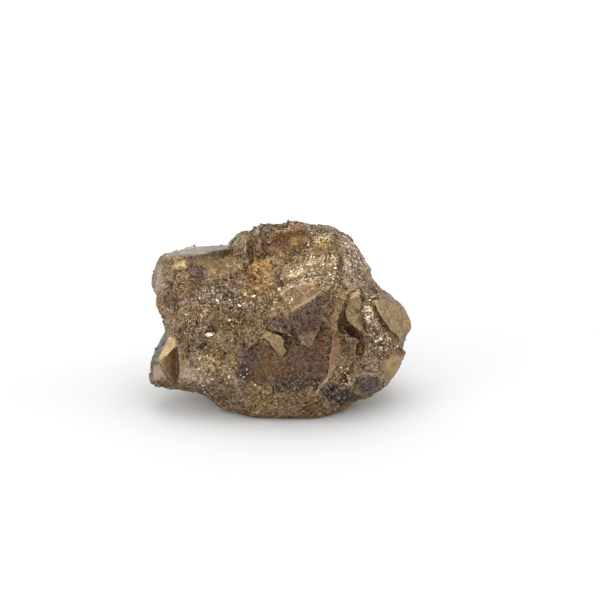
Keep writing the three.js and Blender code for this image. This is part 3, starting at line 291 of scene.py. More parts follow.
# %% The crystal faces that the eye sees
# name: colour, smoothness, how many mm wide its edge is, outline as (across, up)
CRYSTAL_FACES = {
    # the shoulder's top faces the light above: its near-white colour is partly its own pale colour and
    # partly a painted highlight
    "shoulder_top": ("glint", 1.0, 0.14, [
        (-20.4, 27.9), (-18.4, 28.8), (-14.2, 29.7), (-8.9, 30.0), (-8.9, 29.2), (-10.0, 29.2),
        (-12.8, 28.55), (-15.0, 28.1), (-18.4, 28.15),
    ]),
    "overhang": ("slate", 0.8, 0.3, [
        (-18.0, 28.0), (-15.0, 28.1), (-12.8, 28.55), (-10.0, 29.2), (-8.9, 29.2), (-8.7, 28.2),
        (-10.2, 27.6), (-12.4, 27.5), (-15.2, 27.6),
    ]),
    "scoop": ("sand", 0.6, 0.6, [
        (-15.2, 27.6), (-12.4, 27.5), (-10.2, 27.6), (-8.7, 28.2), (-7.4, 28.0), (-6.4, 26.4),
        (-6.3, 24.7), (-8.4, 25.0), (-10.2, 24.4), (-12.6, 24.8), (-13.4, 26.0),
    ]),
    "scoop_shadow": ("plum", 0.4, 0.7, [
        (-16.4, 25.2), (-15.4, 26.6), (-13.4, 26.2), (-12.4, 24.9), (-13.4, 23.6), (-15.2, 23.9),
    ]),
    "small_facet": ("bark", 0.85, 0.3, [
        (-9.1, 24.1), (-7.8, 23.6), (-6.4, 23.2), (-5.6, 21.8), (-6.9, 22.0), (-9.0, 22.6),
    ]),
    "left_end": ("pale", 0.55, 0.5, [
        (-21.6, 26.3), (-20.5, 26.2), (-20.7, 24.0), (-20.5, 22.2), (-21.4, 21.4), (-22.2, 22.8),
        (-22.2, 24.2),
    ]),
    "knob": ("moss", 0.4, 0.5, [
        (-8.5, 30.4), (-7.6, 31.7), (-6.2, 31.9), (-5.8, 31.0), (-6.1, 28.6), (-7.9, 28.9),
    ]),
    "column": ("bark", 0.8, 0.3, [
        (-4.9, 31.4), (-3.0, 31.9), (-2.6, 31.6), (-2.2, 30.2), (-2.0, 28.4), (-3.4, 28.0), (-4.7, 27.8),
    ]),
    "top_knob": ("stone", 0.35, 0.4, [
        (-4.9, 32.6), (-3.0, 33.5), (-1.2, 33.6), (-1.3, 32.4), (-2.6, 31.8), (-4.8, 31.6),
    ]),
    "hollow": ("umber", 0.6, 0.5, [
        (-1.6, 31.9), (1.0, 32.1), (3.0, 32.4), (4.5, 32.4), (4.7, 30.9), (2.9, 29.3), (1.0, 28.5),
        (-1.4, 28.1), (-2.1, 28.6),
    ]),
    "slab": ("pale", 0.2, 0.6, [
        (11.0, 31.6), (12.9, 29.9), (14.3, 27.8), (15.3, 26.2), (15.9, 24.0), (14.0, 22.8),
        (12.3, 22.4), (10.9, 23.4), (10.8, 26.0), (10.9, 29.6),
    ]),
    "wedge_top": ("brown", 0.6, 0.25, [
        (0.0, 21.0), (1.0, 21.9), (2.15, 22.9), (4.4, 23.1), (6.6, 22.7), (6.9, 21.6), (5.0, 20.2),
        (3.4, 19.25), (2.0, 18.6), (0.9, 18.1), (-0.4, 18.9),
    ]),
    "wedge_face": ("shade", 0.6, 0.25, [
        (2.0, 18.6), (3.4, 19.25), (5.0, 20.2), (6.9, 21.6), (7.1, 19.6), (7.0, 17.4), (6.6, 15.3),
        (4.5, 15.3), (2.5, 15.5), (1.3, 17.1),
    ]),
    "wedge_tip": ("fawn", 0.45, 0.14, [
        (2.5, 15.5), (4.5, 15.3), (6.6, 15.3), (5.8, 13.7), (4.75, 12.25), (3.7, 13.0), (2.9, 13.9),
    ]),
    "purple_ledge": ("plum", 0.4, 0.4, [
        (-2.6, 16.9), (-0.4, 17.6), (1.1, 16.9), (1.9, 15.9), (1.9, 14.7), (0.8, 14.8), (-0.8, 15.3),
        (-2.4, 15.8),
    ]),
    "blade": ("sand", 0.6, 0.14, [
        (-3.3, 14.75), (-2.5, 15.0), (-1.2, 14.65), (-0.1, 14.2), (0.5, 13.3), (0.4, 12.4),
        (0.95, 11.6), (0.3, 10.8), (-0.5, 11.3), (-1.4, 12.5), (-2.3, 13.7),
    ]),
    "narrow_column": ("bark", 0.6, 0.3, [
        (6.9, 21.8), (8.4, 22.0), (8.6, 20.0), (8.3, 17.4), (8.2, 15.2), (7.0, 15.2), (7.1, 19.6),
    ]),
    "crevice_lip": ("brown", 0.6, 0.4, [
        (11.6, 22.2), (10.8, 20.2), (10.0, 18.4), (9.5, 16.8), (9.4, 15.2), (8.6, 15.2), (8.8, 17.6),
        (9.4, 19.6), (10.6, 22.2),
    ]),
    "dark_hollow": ("dark", 0.65, 0.7, [
        (-5.0, 12.8), (-3.6, 13.8), (-1.8, 12.4), (-0.7, 10.9), (0.3, 10.3), (1.3, 11.5), (0.95, 13.4),
        (2.0, 14.0), (3.4, 12.6), (4.75, 11.75), (6.2, 13.5), (7.0, 15.3), (8.3, 14.6), (8.2, 12.5),
        (7.95, 10.0), (7.7, 8.0), (6.2, 6.9), (3.6, 6.6), (-3.0, 6.2), (-6.0, 6.5), (-7.3, 8.0),
        (-7.1, 9.7), (-6.2, 11.4),
    ]),
    "sliver": ("rose", 0.95, 0.14, [
        (8.85, 14.5), (9.5, 14.4), (10.3, 13.4), (10.05, 11.6), (9.3, 9.2), (8.6, 7.4), (7.9, 7.0),
        (8.1, 8.2), (8.45, 10.5), (8.75, 12.6),
    ]),
    "sliver_tail": ("pale", 0.6, 0.14, [
        (8.6, 7.5), (7.9, 7.0), (7.1, 6.2), (6.4, 5.3), (6.2, 4.6), (6.8, 4.9), (8.0, 6.3),
    ]),
    "crevice": ("umber", 0.6, 0.14, [
        (11.0, 18.6), (11.2, 17.1), (12.2, 16.1), (13.3, 15.3), (14.4, 14.3),
        (14.1, 13.2), (12.8, 13.5), (11.6, 13.9), (9.9, 14.7), (9.7, 16.6), (10.3, 18.2),
    ]),
    "block_left": ("sand", 0.6, 0.14, [
        (12.1, 21.9), (13.3, 22.0), (13.7, 19.9), (13.8, 18.3), (14.2, 16.2), (14.6, 14.8), (13.3, 15.4),
        (12.3, 16.2), (11.4, 17.1), (11.0, 18.5), (11.5, 20.0),
    ]),
    "block_right": ("beige", 0.55, 0.14, [
        (16.2, 19.7), (17.2, 21.2), (18.7, 21.6), (20.6, 19.9), (22.1, 17.5), (22.6, 15.9), (21.7, 14.3),
        (20.1, 14.2), (18.7, 15.6), (17.7, 16.9), (16.9, 18.2),
    ]),
    "block_groove": ("umber", 0.4, 0.25, [
        (16.1, 19.7), (16.9, 18.1), (17.7, 16.8), (18.7, 15.5), (20.2, 14.1), (20.2, 13.6), (18.9, 14.9),
        (17.9, 16.0), (17.0, 17.3), (16.2, 18.7),
    ]),
    "olive_facet": ("slate", 0.65, 0.4, [
        (10.4, 13.4), (12.9, 12.7), (12.7, 11.2), (11.8, 10.4), (10.3, 11.2),
    ]),
    "pocket": ("rust", 0.5, 0.4, [(13.2, 12.9), (14.3, 12.6), (14.2, 10.9), (13.1, 11.1)]),
    "stained_facet": ("brass", 0.9, 0.5, [
        (17.5, 9.9), (19.4, 10.8), (20.8, 10.6), (20.6, 9.2), (19.9, 7.8), (18.4, 6.2), (17.4, 7.2),
    ]),
    "little_plate": ("cream", 0.95, 0.14, [(-0.1, 21.6), (0.1, 21.2), (2.2, 22.8), (1.9, 23.1)]),
    "gold_facet": ("brass", 0.7, 0.3, [
        (-18.6, 26.3), (-17.6, 27.1), (-16.3, 27.2), (-16.2, 26.1), (-17.9, 25.5),
    ]),
    "lens": ("dusk", 0.65, 0.25, [
        (12.7, 5.4), (13.2, 7.1), (14.8, 7.4), (16.8, 7.2), (17.1, 5.9), (16.2, 4.8), (14.2, 4.4),
    ]),
    "lens_rim": ("pale", 0.6, 0.14, [
        (13.0, 7.3), (14.8, 7.6), (16.9, 7.4), (16.9, 7.7), (14.8, 7.95), (13.0, 7.65),
    ]),
    # the corner crystal's bright face mirrors the light: its pale gold is partly its own colour and partly
    # a painted highlight
    "corner_bright": ("sun", 1.0, 0.14, [
        (-19.15, 14.2), (-18.4, 13.9), (-17.7, 13.6), (-18.2, 12.3), (-19.4, 11.1), (-20.9, 10.0),
        (-20.9, 10.4), (-20.5, 11.6), (-20.0, 12.9),
    ]),
    "corner_dark": ("sand", 0.85, 0.14, [
        (-17.7, 13.4), (-18.2, 12.3), (-19.4, 11.1), (-20.8, 10.0), (-20.8, 9.2), (-20.3, 7.8),
        (-19.6, 6.8), (-18.9, 6.0), (-18.3, 5.3), (-17.7, 5.2), (-17.7, 9.0),
    ]),
    "corner_pale": ("pale", 0.75, 0.3, [
        (-21.9, 9.0), (-21.2, 9.2), (-20.8, 9.2), (-20.3, 7.8), (-20.8, 6.8), (-21.9, 6.8),
    ]),
    "corner_border": ("stone", 0.6, 0.25, [
        (-22.7, 9.4), (-22.2, 10.6), (-21.6, 11.9), (-21.0, 13.1), (-20.0, 14.8), (-19.3, 14.3),
        (-20.0, 12.9), (-20.5, 11.6), (-20.9, 10.4), (-21.0, 9.3), (-22.2, 9.1),
    ]),
}
print("crystal faces:", len(CRYSTAL_FACES))

# %% Masks for what the eye sees


def line_distance(across, up, line):
    """How far each point lies from a line of straight stretches, in millimetres."""
    nearest = np.full(len(across), np.inf)
    for (ax, ay), (bx, by) in zip(line, line[1:]):
        run_x, run_y = bx - ax, by - ay
        along = ((across - ax) * run_x + (up - ay) * run_y) / (run_x**2 + run_y**2)
        along = np.clip(along, 0, 1)
        nearest = np.minimum(nearest, np.hypot(across - ax - along * run_x, up - ay - along * run_y))
    return nearest


def outline_depth(across, up, outline):
    """How far inside an outline each point lies, in millimetres. It is negative outside."""
    within = np.zeros(len(across), bool)
    loop = outline + outline[:1]
    for (ax, ay), (bx, by) in zip(loop, loop[1:]):
        if ay != by:
            within ^= ((ay > up) != (by > up)) & (across < (bx - ax) * (up - ay) / (by - ay) + ax)
    distance = line_distance(across, up, loop)
    return np.where(within, distance, -distance)


def close_to(across, up, line):
    """Which points lie within a millimetre of the upright box round a line."""
    low, high = np.min(line, 0) - 1, np.max(line, 0) + 1
    return (across > low[0]) & (across < high[0]) & (up > low[1]) & (up < high[1])


def face_mask(across, up, name):
    """1 on a crystal face and 0 beside it. Only points near the face are worked out."""
    _, _, edge_mm, outline = CRYSTAL_FACES[name]
    near = close_to(across, up, outline)
    mask = np.zeros(len(across))
    mask[near] = smooth_step(outline_depth(across[near], up[near], outline), -edge_mm, edge_mm)
    return mask


across, up, _ = seen_from_eye(corners_of(lump.data))
print("corners seen on the blade:", int((face_mask(across, up, "blade") > 0.5).sum()))

# %% How smooth the surface is
SUGAR_SMOOTH = 0.12
BEHIND_SMOOTH = 0.75
# cloud width and how far the clouds shift an edge in mm, then the salts for across and for up
CRISP_EDGES = [(0.9, 0.15, 40, 42)]
RAGGED_EDGES = [(1.6, 0.55, 53, 54), (0.6, 0.28, 55, 56)]


def front_share(normals):
    """1 where the surface faces the eye, 0 where it faces away."""
    return smooth_step(-(normals @ EYE_AHEAD), -0.1, 0.15)


def shaken(points, edges):
    """Where the eye sees the points, shifted to and fro so that no edge is a straight line."""
    across, up, _ = seen_from_eye(points)
    for size_mm, shift_mm, across_salt, up_salt in edges:
        across = across + clouds(points / MM, size_mm, across_salt) * shift_mm
        up = up + clouds(points / MM, size_mm, up_salt) * shift_mm
    return across, up


def smoothness_at(points, normals):
    """How smooth the surface is: the named faces in front, broad broken faces behind."""
    across, up = shaken(points, CRISP_EDGES)
    place = points / MM
    smooth = SUGAR_SMOOTH + patches(place, 4.0, 43, 0.1, 0.7) * 0.3
    for name, (_, smoothness, _, _) in CRYSTAL_FACES.items():
        smooth += (smoothness - smooth) * face_mask(across, up, name)
    broad = clouds(place @ ASKEW, 6.0, 41) + clouds(place, 1.5, 39) * 0.3
    behind = smooth_step(broad, 0.0, 0.3) * BEHIND_SMOOTH
    facing = front_share(normals)
    return smooth * facing + behind * (1 - facing)


test_spot = smoothness_at(np.array([[0.0, -0.01, 0.01]]), -EYE_AHEAD[None])
print("smoothness of one spot in front:", test_spot.round(2))

# %% Cracks, and crests with a painted highlight
# each is a line that the eye sees, as (across, up)
CRACKS = [
    [(10.0, 28.6), (9.9, 26.4), (9.8, 24.7), (9.6, 23.4)],
    [(7.6, 28.4), (7.5, 26.5), (7.7, 24.8)],
    [(4.1, 24.3), (5.8, 24.5), (8.2, 24.9), (9.5, 24.7)],
    [(-4.5, 20.6), (-3.4, 21.3), (-2.6, 21.6)],
    [(-4.9, 28.9), (-4.85, 27.6), (-5.0, 26.0)],
    [(0.6, 30.4), (1.3, 30.9), (2.2, 30.6)],
    [(4.3, 31.8), (5.2, 32.2), (5.4, 32.7)],
    [(12.3, 29.2), (12.0, 26.8), (12.7, 24.4), (13.2, 22.6)],
    [(13.4, 27.4), (13.2, 25.6), (14.2, 23.8)],
    [(11.4, 26.4), (11.9, 24.2), (11.7, 22.6)],
    [(13.8, 19.8), (13.9, 18.3), (14.4, 16.1), (14.6, 15.1)],
    [(13.6, 22.6), (13.9, 20.9), (14.5, 20.2), (16.4, 20.5), (16.9, 21.1)],
    [(16.1, 19.1), (17.1, 17.4), (18.4, 15.5), (20.3, 13.6)],
    [(19.2, 12.7), (20.1, 11.9), (20.9, 11.8)],
    [(13.2, 10.1), (13.9, 8.9), (14.5, 8.4), (16.0, 7.9), (17.3, 8.1)],
    [(9.9, 14.5), (11.4, 14.1), (13.0, 13.5), (13.9, 13.2)],
    [(-18.4, 23.6), (-18.7, 22.2), (-18.9, 20.9)],
    [(-13.9, 18.0), (-14.4, 16.3), (-15.0, 14.9), (-15.6, 12.4), (-15.8, 10.1)],
    [(-17.4, 15.4), (-16.7, 13.6)],
    [(-15.0, 12.8), (-13.8, 12.4), (-12.9, 12.8)],
    [(-20.9, 9.6), (-19.9, 8.0), (-18.7, 6.0), (-17.6, 5.1)],
    [(-11.2, 10.1), (-10.2, 10.6), (-9.2, 11.3)],
    [(-2.5, 15.4), (-0.9, 15.0), (0.4, 14.5), (1.3, 14.3)],
    [(1.6, 18.2), (1.4, 16.8)],
    [(7.1, 15.6), (6.0, 13.9)],
    [(8.65, 14.5), (8.4, 10.7), (8.0, 7.7), (7.7, 6.6)],
    [(5.4, 6.9), (6.7, 6.3), (7.6, 6.8)],
    [(2.3, 9.0), (2.5, 8.1)],
    [(-9.6, 4.2), (-7.6, 5.0), (-6.8, 6.4)],
]
CREST_HIGHLIGHTS = [
    [(1.8, 18.7), (4.2, 20.0), (6.7, 21.6)],
    [(-8.8, 23.9), (-7.0, 23.4), (-5.6, 23.2)],
    [(-11.9, 8.4), (-10.4, 9.8)],
    [(9.9, 14.7), (11.4, 14.3), (13.0, 13.7)],
    [(13.0, 7.5), (14.6, 7.75), (16.6, 7.6), (17.2, 6.6)],
    [(9.3, 9.2), (8.6, 7.4), (7.9, 6.6), (6.9, 5.6), (6.3, 4.7)],
    [(-17.6, 12.4), (-17.4, 9.6), (-17.4, 6.4)],
]
CRACK_REACH_MM = 0.17
CRACK_DEPTH_MM = 0.16
CREST_REACH_MM = 0.2


def line_mask(across, up, lines, reach_mm):
    """1 on any of the lines, fading to 0 at reach_mm beside it."""
    mask = np.zeros(len(across))
    for line in lines:
        near = close_to(across, up, line)
        distance = line_distance(across[near], up[near], line)
        mask[near] = np.maximum(mask[near], 1 - smooth_step(distance, 0.2 * reach_mm, reach_mm))
    return mask


def cracks_at(points, normals):
    """The listed cracks in front, and winding veins of noise behind."""
    place = points / MM
    across, up, _ = seen_from_eye(points)
    shake = clouds(place, 0.7, 44) * 0.14
    broken = patches(place, 1.3, 46, -0.5, 0.3)
    listed = line_mask(across + shake, up - shake, CRACKS, CRACK_REACH_MM) * (0.25 + 0.75 * broken)
    winding = clouds(place @ ASKEW, 4.6, 45) + clouds(place, 1.7, 47) * 0.6 + clouds(place, 0.6, 48) * 0.2
    veins = (1 - smooth_step(np.abs(winding), 0.0, 0.07)) * patches(place, 1.9, 49, 0.0, 0.4)
    facing = front_share(normals)
    return np.maximum(listed * facing, veins * (0.9 - 0.65 * facing))


print("cracks:", len(CRACKS), "and crests:", len(CREST_HIGHLIGHTS))

# %% Long grains, laid two ways
LONG_GRAIN_STRETCH = 2.4
LONG_GRAIN_TURNS = ((0.5, 0.9, 0.2), (-0.7, 0.3, 1.3))


def long_grains(points_mm, size_mm, salt):
    """Height and lightness of long grains. Which of two ways they lie changes from place to place."""
    chosen = clouds(points_mm, 5.0, salt) > 0
    height = np.zeros(len(points_mm))
    shade = np.zeros(len(points_mm))
    for side, turn in zip((chosen, ~chosen), LONG_GRAIN_TURNS):
        local = points_mm[side] @ np.array(Euler(turn).to_matrix())
        local[:, 2] /= LONG_GRAIN_STRETCH
        height[side], shade[side] = grains(local, size_mm, salt + 4)
    return height, shade


print("long grains lie", len(LONG_GRAIN_TURNS), "ways and are", LONG_GRAIN_STRETCH, "times as long as wide")

# %% [markdown]
# ## Relief that is pushed in
# A displacement map would do the same in a render, but then the relief would be missing from the mesh.
# Here every corner is moved, so pits and cracks are real and the piece keeps them wherever it goes.

# %% Push the grain into the skin
# kind, width in mm, salt, then how far it stands out in mm on the sugary skin and on a crystal face
GRAIN_LAYERS = [
    (grains, 3.0, 1, 0.26, 0.02),
    (grains, 0.6, 11, 0.04, 0.01),
    (long_grains, 1.6, 100, 0.2, 0.02),
    (long_grains, 0.8, 110, 0.1, 0.015),
]
PIT_SIZE_MM = 0.8
PIT_DEPTH_MM = 0.18
PIT_SHARE = 0.04
PIT_SALT = 77
FLOOR_FADE_MM = (0.05, 0.6)


def push_grain(piece):
    """Move every corner in or out along its normal, but none below the floor."""
    mesh = piece.data
    points, normals = corners_of(mesh), normals_of(mesh)
    smooth = smoothness_at(points, normals)
    sugar = 1 - smooth
    out = np.zeros(len(points))
    for kind, size_mm, salt, sugary_mm, plane_mm in GRAIN_LAYERS:
        out += kind(points / MM, size_mm, salt)[0] * (sugary_mm * sugar**2 + plane_mm * smooth)
    pit_height, pit_shade = grains(points / MM, PIT_SIZE_MM, PIT_SALT)
    pits = (pit_shade < PIT_SHARE) * smooth_step(sugar, 0.4, 0.8)
    out -= pits * PIT_DEPTH_MM * (0.7 + 0.3 * pit_height)
    out -= cracks_at(points, normals) * CRACK_DEPTH_MM
    out *= smooth_step(points[:, 2] / MM, *FLOOR_FADE_MM)
    moved = points + normals * out[:, None] * MM
    moved[:, 2] = np.maximum(moved[:, 2], 0)
    move_corners(mesh, moved)
    return out


pushed = push_grain(lump)
print("grain stands out by", round(float(pushed.max()), 2), "mm at most")
print("grain sinks in by", round(float(-pushed.min()), 2), "mm at most")

# %% Thin the mesh and sharpen its creases
TRIANGLES = 190_000
CREASE = math.radians(20)


def drop_crumbs(mesh):
    """Take out all but the largest connected part of a mesh, and count the parts that went."""
    whole = bmesh.new()
    whole.from_mesh(mesh)
    unseen = set(whole.verts)
    parts = []
    while unseen:
        part = [unseen.pop()]
        for corner in part:
            near = {edge.other_vert(corner) for edge in corner.link_edges} & unseen
            unseen -= near
            part.extend(near)
        parts.append(part)
    parts.sort(key=len)
    crumbs = [corner for part in parts[:-1] for corner in part]
    bmesh.ops.delete(whole, geom=crumbs, context="VERTS")
    whole.to_mesh(mesh)
    whole.free()
    return len(parts) - 1


def thin(piece):
    thinning = piece.modifiers.new("thin", "DECIMATE")
    thinning.ratio = TRIANGLES / (2 * len(piece.data.polygons))
    thinning.use_collapse_triangulate = True
    keep_result(piece, thinning)
    print("loose crumbs taken out:", drop_crumbs(piece.data))
    piece.data.shade_smooth()
    piece.data.set_sharp_from_angle(angle=CREASE)


def open_edges(mesh):
    """How many edges lack one face on each side."""
    probe = bmesh.new()
    probe.from_mesh(mesh)
    count = sum(not edge.is_manifold for edge in probe.edges)
    probe.free()
    return count


thin(lump)
print("thinned to", len(lump.data.polygons), "triangles with", open_edges(lump.data), "open edges")

# %% Where it glitters
# middle across, middle up, half width, half height, turn, how much it glitters
GLITTERING = [
    (9.0, 26.4, 1.0, 3.6, 0, 1.0),
    (15.3, 17.6, 1.3, 3.2, 14, 1.0),
    (16.6, 12.4, 2.6, 1.6, 0, 0.6),
    (7.4, 31.0, 1.8, 1.4, 0, 1.0),
    (12.4, 27.6, 1.6, 3.6, 12, 0.5),
    (-9.6, 20.4, 5.6, 2.2, -8, 0.45),
    (-17.4, 26.4, 1.2, 0.8, 20, 0.8),
    (-12.2, 9.8, 1.6, 1.2, 20, 0.8),
    (-8.6, 8.6, 1.6, 3.2, -30, 0.45),
    (11.2, 7.2, 1.4, 1.8, 0, 1.0),
    (5.0, 26.0, 4.2, 2.2, 20, 0.9),
    (-3.0, 26.4, 1.8, 1.0, 0, 0.2),
    (0.0, 19.8, 3.0, 1.2, 20, 0.6),
    (12.8, 26.6, 2.0, 3.4, 14, 0.6),
    (-14.4, 16.6, 3.0, 3.0, 0, 0.4),
    (-12.6, 6.4, 3.0, 2.4, 0, 0.3),
    (-14.4, 9.4, 2.0, 2.6, 0, 0.25),
    (-3.0, 32.5, 1.5, 0.8, 0, 0.35),
    (17.4, 13.4, 2.4, 1.4, 0, 0.5),
    (-5.8, 8.2, 1.6, 3.0, 20, 0.4),
]


def stain_mask(across, up, across_mm, up_mm, wide_mm, high_mm, turn):
    """1 in the middle of a stain, fading to 0 at its ragged edge."""
    angle = math.radians(turn)
    x, y = across - across_mm, up - up_mm
    along = (x * math.cos(angle) + y * math.sin(angle)) / wide_mm
    aside = (-x * math.sin(angle) + y * math.cos(angle)) / high_mm
    return smooth_step(-np.hypot(along, aside), -1.3, -0.5)


def glitter_at(points, normals):
    """How much the surface glitters: the listed places in front, wide patches behind."""
    across, up = shaken(points, RAGGED_EDGES)
    facing = front_share(normals)
    glitter = np.full(len(points), 0.06)
    for *ellipse, amount in GLITTERING:
        glitter = np.maximum(glitter, stain_mask(across, up, *ellipse) * amount * facing)
    behind = patches(points / MM, 5.0, 65, 0.0, 0.6)
    return np.maximum(glitter, behind * (1 - facing) * 0.6)


print("places that glitter in front:", len(GLITTERING))

# %% [markdown]
# ## A crust of small crystals
# The sugary skin is made of thousands of tiny splinters, which lie side by side along a grain that
# winds over the lump. They could be placed by hand or by a particle system. Geometry Nodes do it with a
# few named inputs: points are strewn where an attribute says so, a splinter with a flat top is laid on
# each, and the result is realized into a plain mesh. The tree is used twice: for the crust, and for
# slimmer slivers that stand only where the lump glitters.

# %% Measure hollows and ridges
# rounds of averaging, and the depth in mm that counts as a full hollow: near by, then wide
HOLLOW_REACHES = [(4, 0.07), (24, 0.36)]


def hollows(mesh):
    """How deep each corner lies under its surroundings, near and wide, from -1 on a ridge to 1."""
    points, normals = corners_of(mesh), normals_of(mesh)
    edges = rows_of(mesh.edges, "vertices", 2, np.int64)
    found = []
    for rounds, full_mm in HOLLOW_REACHES:
        level = neighbour_mean(points, edges, rounds)
        depth = ((level - points) * normals).sum(1) / MM
        found.append(np.clip(depth / full_mm, -1, 1))
    return found


near_hollow, wide_hollow = hollows(lump.data)
print("hollows:", round(float((wide_hollow > 0.5).mean()) * 100, 1), "percent of the skin lies deep")

# %% Mark where crystals grow
CRUST_ATTRIBUTE = "crust"
SLIVER_ATTRIBUTE = "slivers"


def store(mesh, name, values):
    """Keep one number, or one colour, for every corner of a mesh."""
    field, kind = "value", "FLOAT"
    if values.ndim == 2:
        field, kind = "color", "FLOAT_COLOR"
        values = np.hstack([values, np.ones((len(values), 1))])
    layer = mesh.attributes.get(name) or mesh.attributes.new(name, kind, "POINT")
    layer.data.foreach_set(field, values.astype(np.float32).ravel())


def mark_crust(piece):
    """Mark the sugary and the glittering places, but leave out rims, where splinters would stick out."""
    points, normals = corners_of(piece.data), normals_of(piece.data)
    sugar = 1 - smoothness_at(points, normals)
    patchy = 0.5 + 0.5 * patches(points / MM, 2.6, 70, -0.3, 0.4)
    above_floor = smooth_step(points[:, 2] / MM, 0.8, 1.6)
    on_a_ridge = smooth_step(-wide_hollow, 0.0, 0.5)
    turned_aside = 1 - smooth_step(np.abs(normals @ EYE_AHEAD), 0.1, 0.4)
    room = above_floor * (1 - np.maximum(on_a_ridge, 0.7 * turned_aside))
    crust = smooth_step(sugar, 0.6, 0.9) * patchy * room
    glittering = smooth_step(glitter_at(points, normals), 0.05, 0.6) * smooth_step(sugar, 0.3, 0.6)
    store(piece.data, CRUST_ATTRIBUTE, crust)
    store(piece.data, SLIVER_ATTRIBUTE, glittering * room)
    return crust


crust = mark_crust(lump)
print("crystals grow on", round(float(crust.mean()) * 100), "percent of the skin")

# %% Node trees as plain Python


class Value:
    """One output of a node, so that maths on it reads as maths."""

    def __init__(self, nodes, socket):
        self.nodes, self.socket = nodes, socket

    def other(self, name):
        """Another output of the same node."""
        return Value(self.nodes, self.socket.node.outputs[name])

    def maths(self, operation, *others):
        return self.nodes.maths(operation, self, *others)

    def __add__(self, other):
        return self.maths("ADD", other)

    def __mul__(self, other):
        return self.maths("MULTIPLY", other)

    def __sub__(self, other):
        return self.maths("SUBTRACT", other)

    def __rsub__(self, other):
        return self.nodes.maths("SUBTRACT", other, self)

    def __rtruediv__(self, other):
        return self.nodes.maths("DIVIDE", other, self)

    __radd__ = __add__
    __rmul__ = __mul__

    def step(self, low, high):
        """0 below low, 1 above high, and smooth between."""
        sockets = {"Value": self, "From Min": low, "From Max": high}
        return self.nodes.node("ShaderNodeMapRange", {"interpolation_type": "SMOOTHSTEP"}, sockets)


class Nodes:
    """A node tree that is built line by line."""

    def __init__(self, tree):
        self.tree = tree
        tree.nodes.clear()

    def node(self, kind, settings=None, sockets=None, out=0):
        """A node of any kind: its settings first, then the values or links of its sockets."""
        node = self.tree.nodes.new(kind)
        for key, value in (settings or {}).items():
            setattr(node, key, value)
        for key, value in (sockets or {}).items():
            slot = next(s for s in node.inputs if key in (s.identifier, s.name) and s.enabled)
            if isinstance(value, Value):
                self.tree.links.new(value.socket, slot)
            else:
                slot.default_value = value
        return Value(self, node.outputs[out]) if node.outputs else None

    def maths(self, operation, *values):
        sockets = dict(zip(("Value", "Value_001"), values))
        return self.node("ShaderNodeMath", {"operation": operation}, sockets)

    def vector(self, operation, first, second=None, scale=None, out=0):
        sockets = {"Vector": first, "Vector_001": second, "Scale": scale}
        given = {key: value for key, value in sockets.items() if value is not None}
        return self.node("ShaderNodeVectorMath", {"operation": operation}, given, out)

    def attribute(self, name, out="Fac"):
        return self.node("ShaderNodeAttribute", {"attribute_name": name}, {}, out)

    def mix(self, factor, first, second):
        sockets = {"Factor_Float": factor, "A_Color": first, "B_Color": second}
        return self.node("ShaderNodeMix", {"data_type": "RGBA"}, sockets, out=2)

    def random(self, least, most, seed, kind="FLOAT", out=1):
        sockets = {"Min": least, "Max": most, "Seed": seed}
        return self.node("FunctionNodeRandomValue", {"data_type": kind}, sockets, out)


print("node helpers:", [name for name in vars(Nodes) if name[0] != "_"])

# %% Build the tree that grows them
MIDDLE_GREY = (0.5, 0.5, 0.5)
CRUST_INPUTS = [
    ("Gap", "Float", 0.3 * MM),
    ("Most per area", "Float", 2e7),
    ("Shortest", "Float", 0.3 * MM),
    ("Longest", "Float", 0.7 * MM),
    ("Thickness", "Float", 0.2 * MM),
    ("Sunk", "Float", 0.1 * MM),
    ("Slimmest", "Float", 0.1),
    ("Stoutest", "Float", 0.3),
    ("Winding", "Float", 6.0 * MM),
    ("Where", "String", CRUST_ATTRIBUTE),
    ("Seed", "Int", 7),
]
SPLINTER = {"Vertices": 4, "Radius Top": 0.6, "Radius Bottom": 1.0, "Depth": 1.0}
MOST_LEAN = Vector((0.3, 0.16, 0.7))


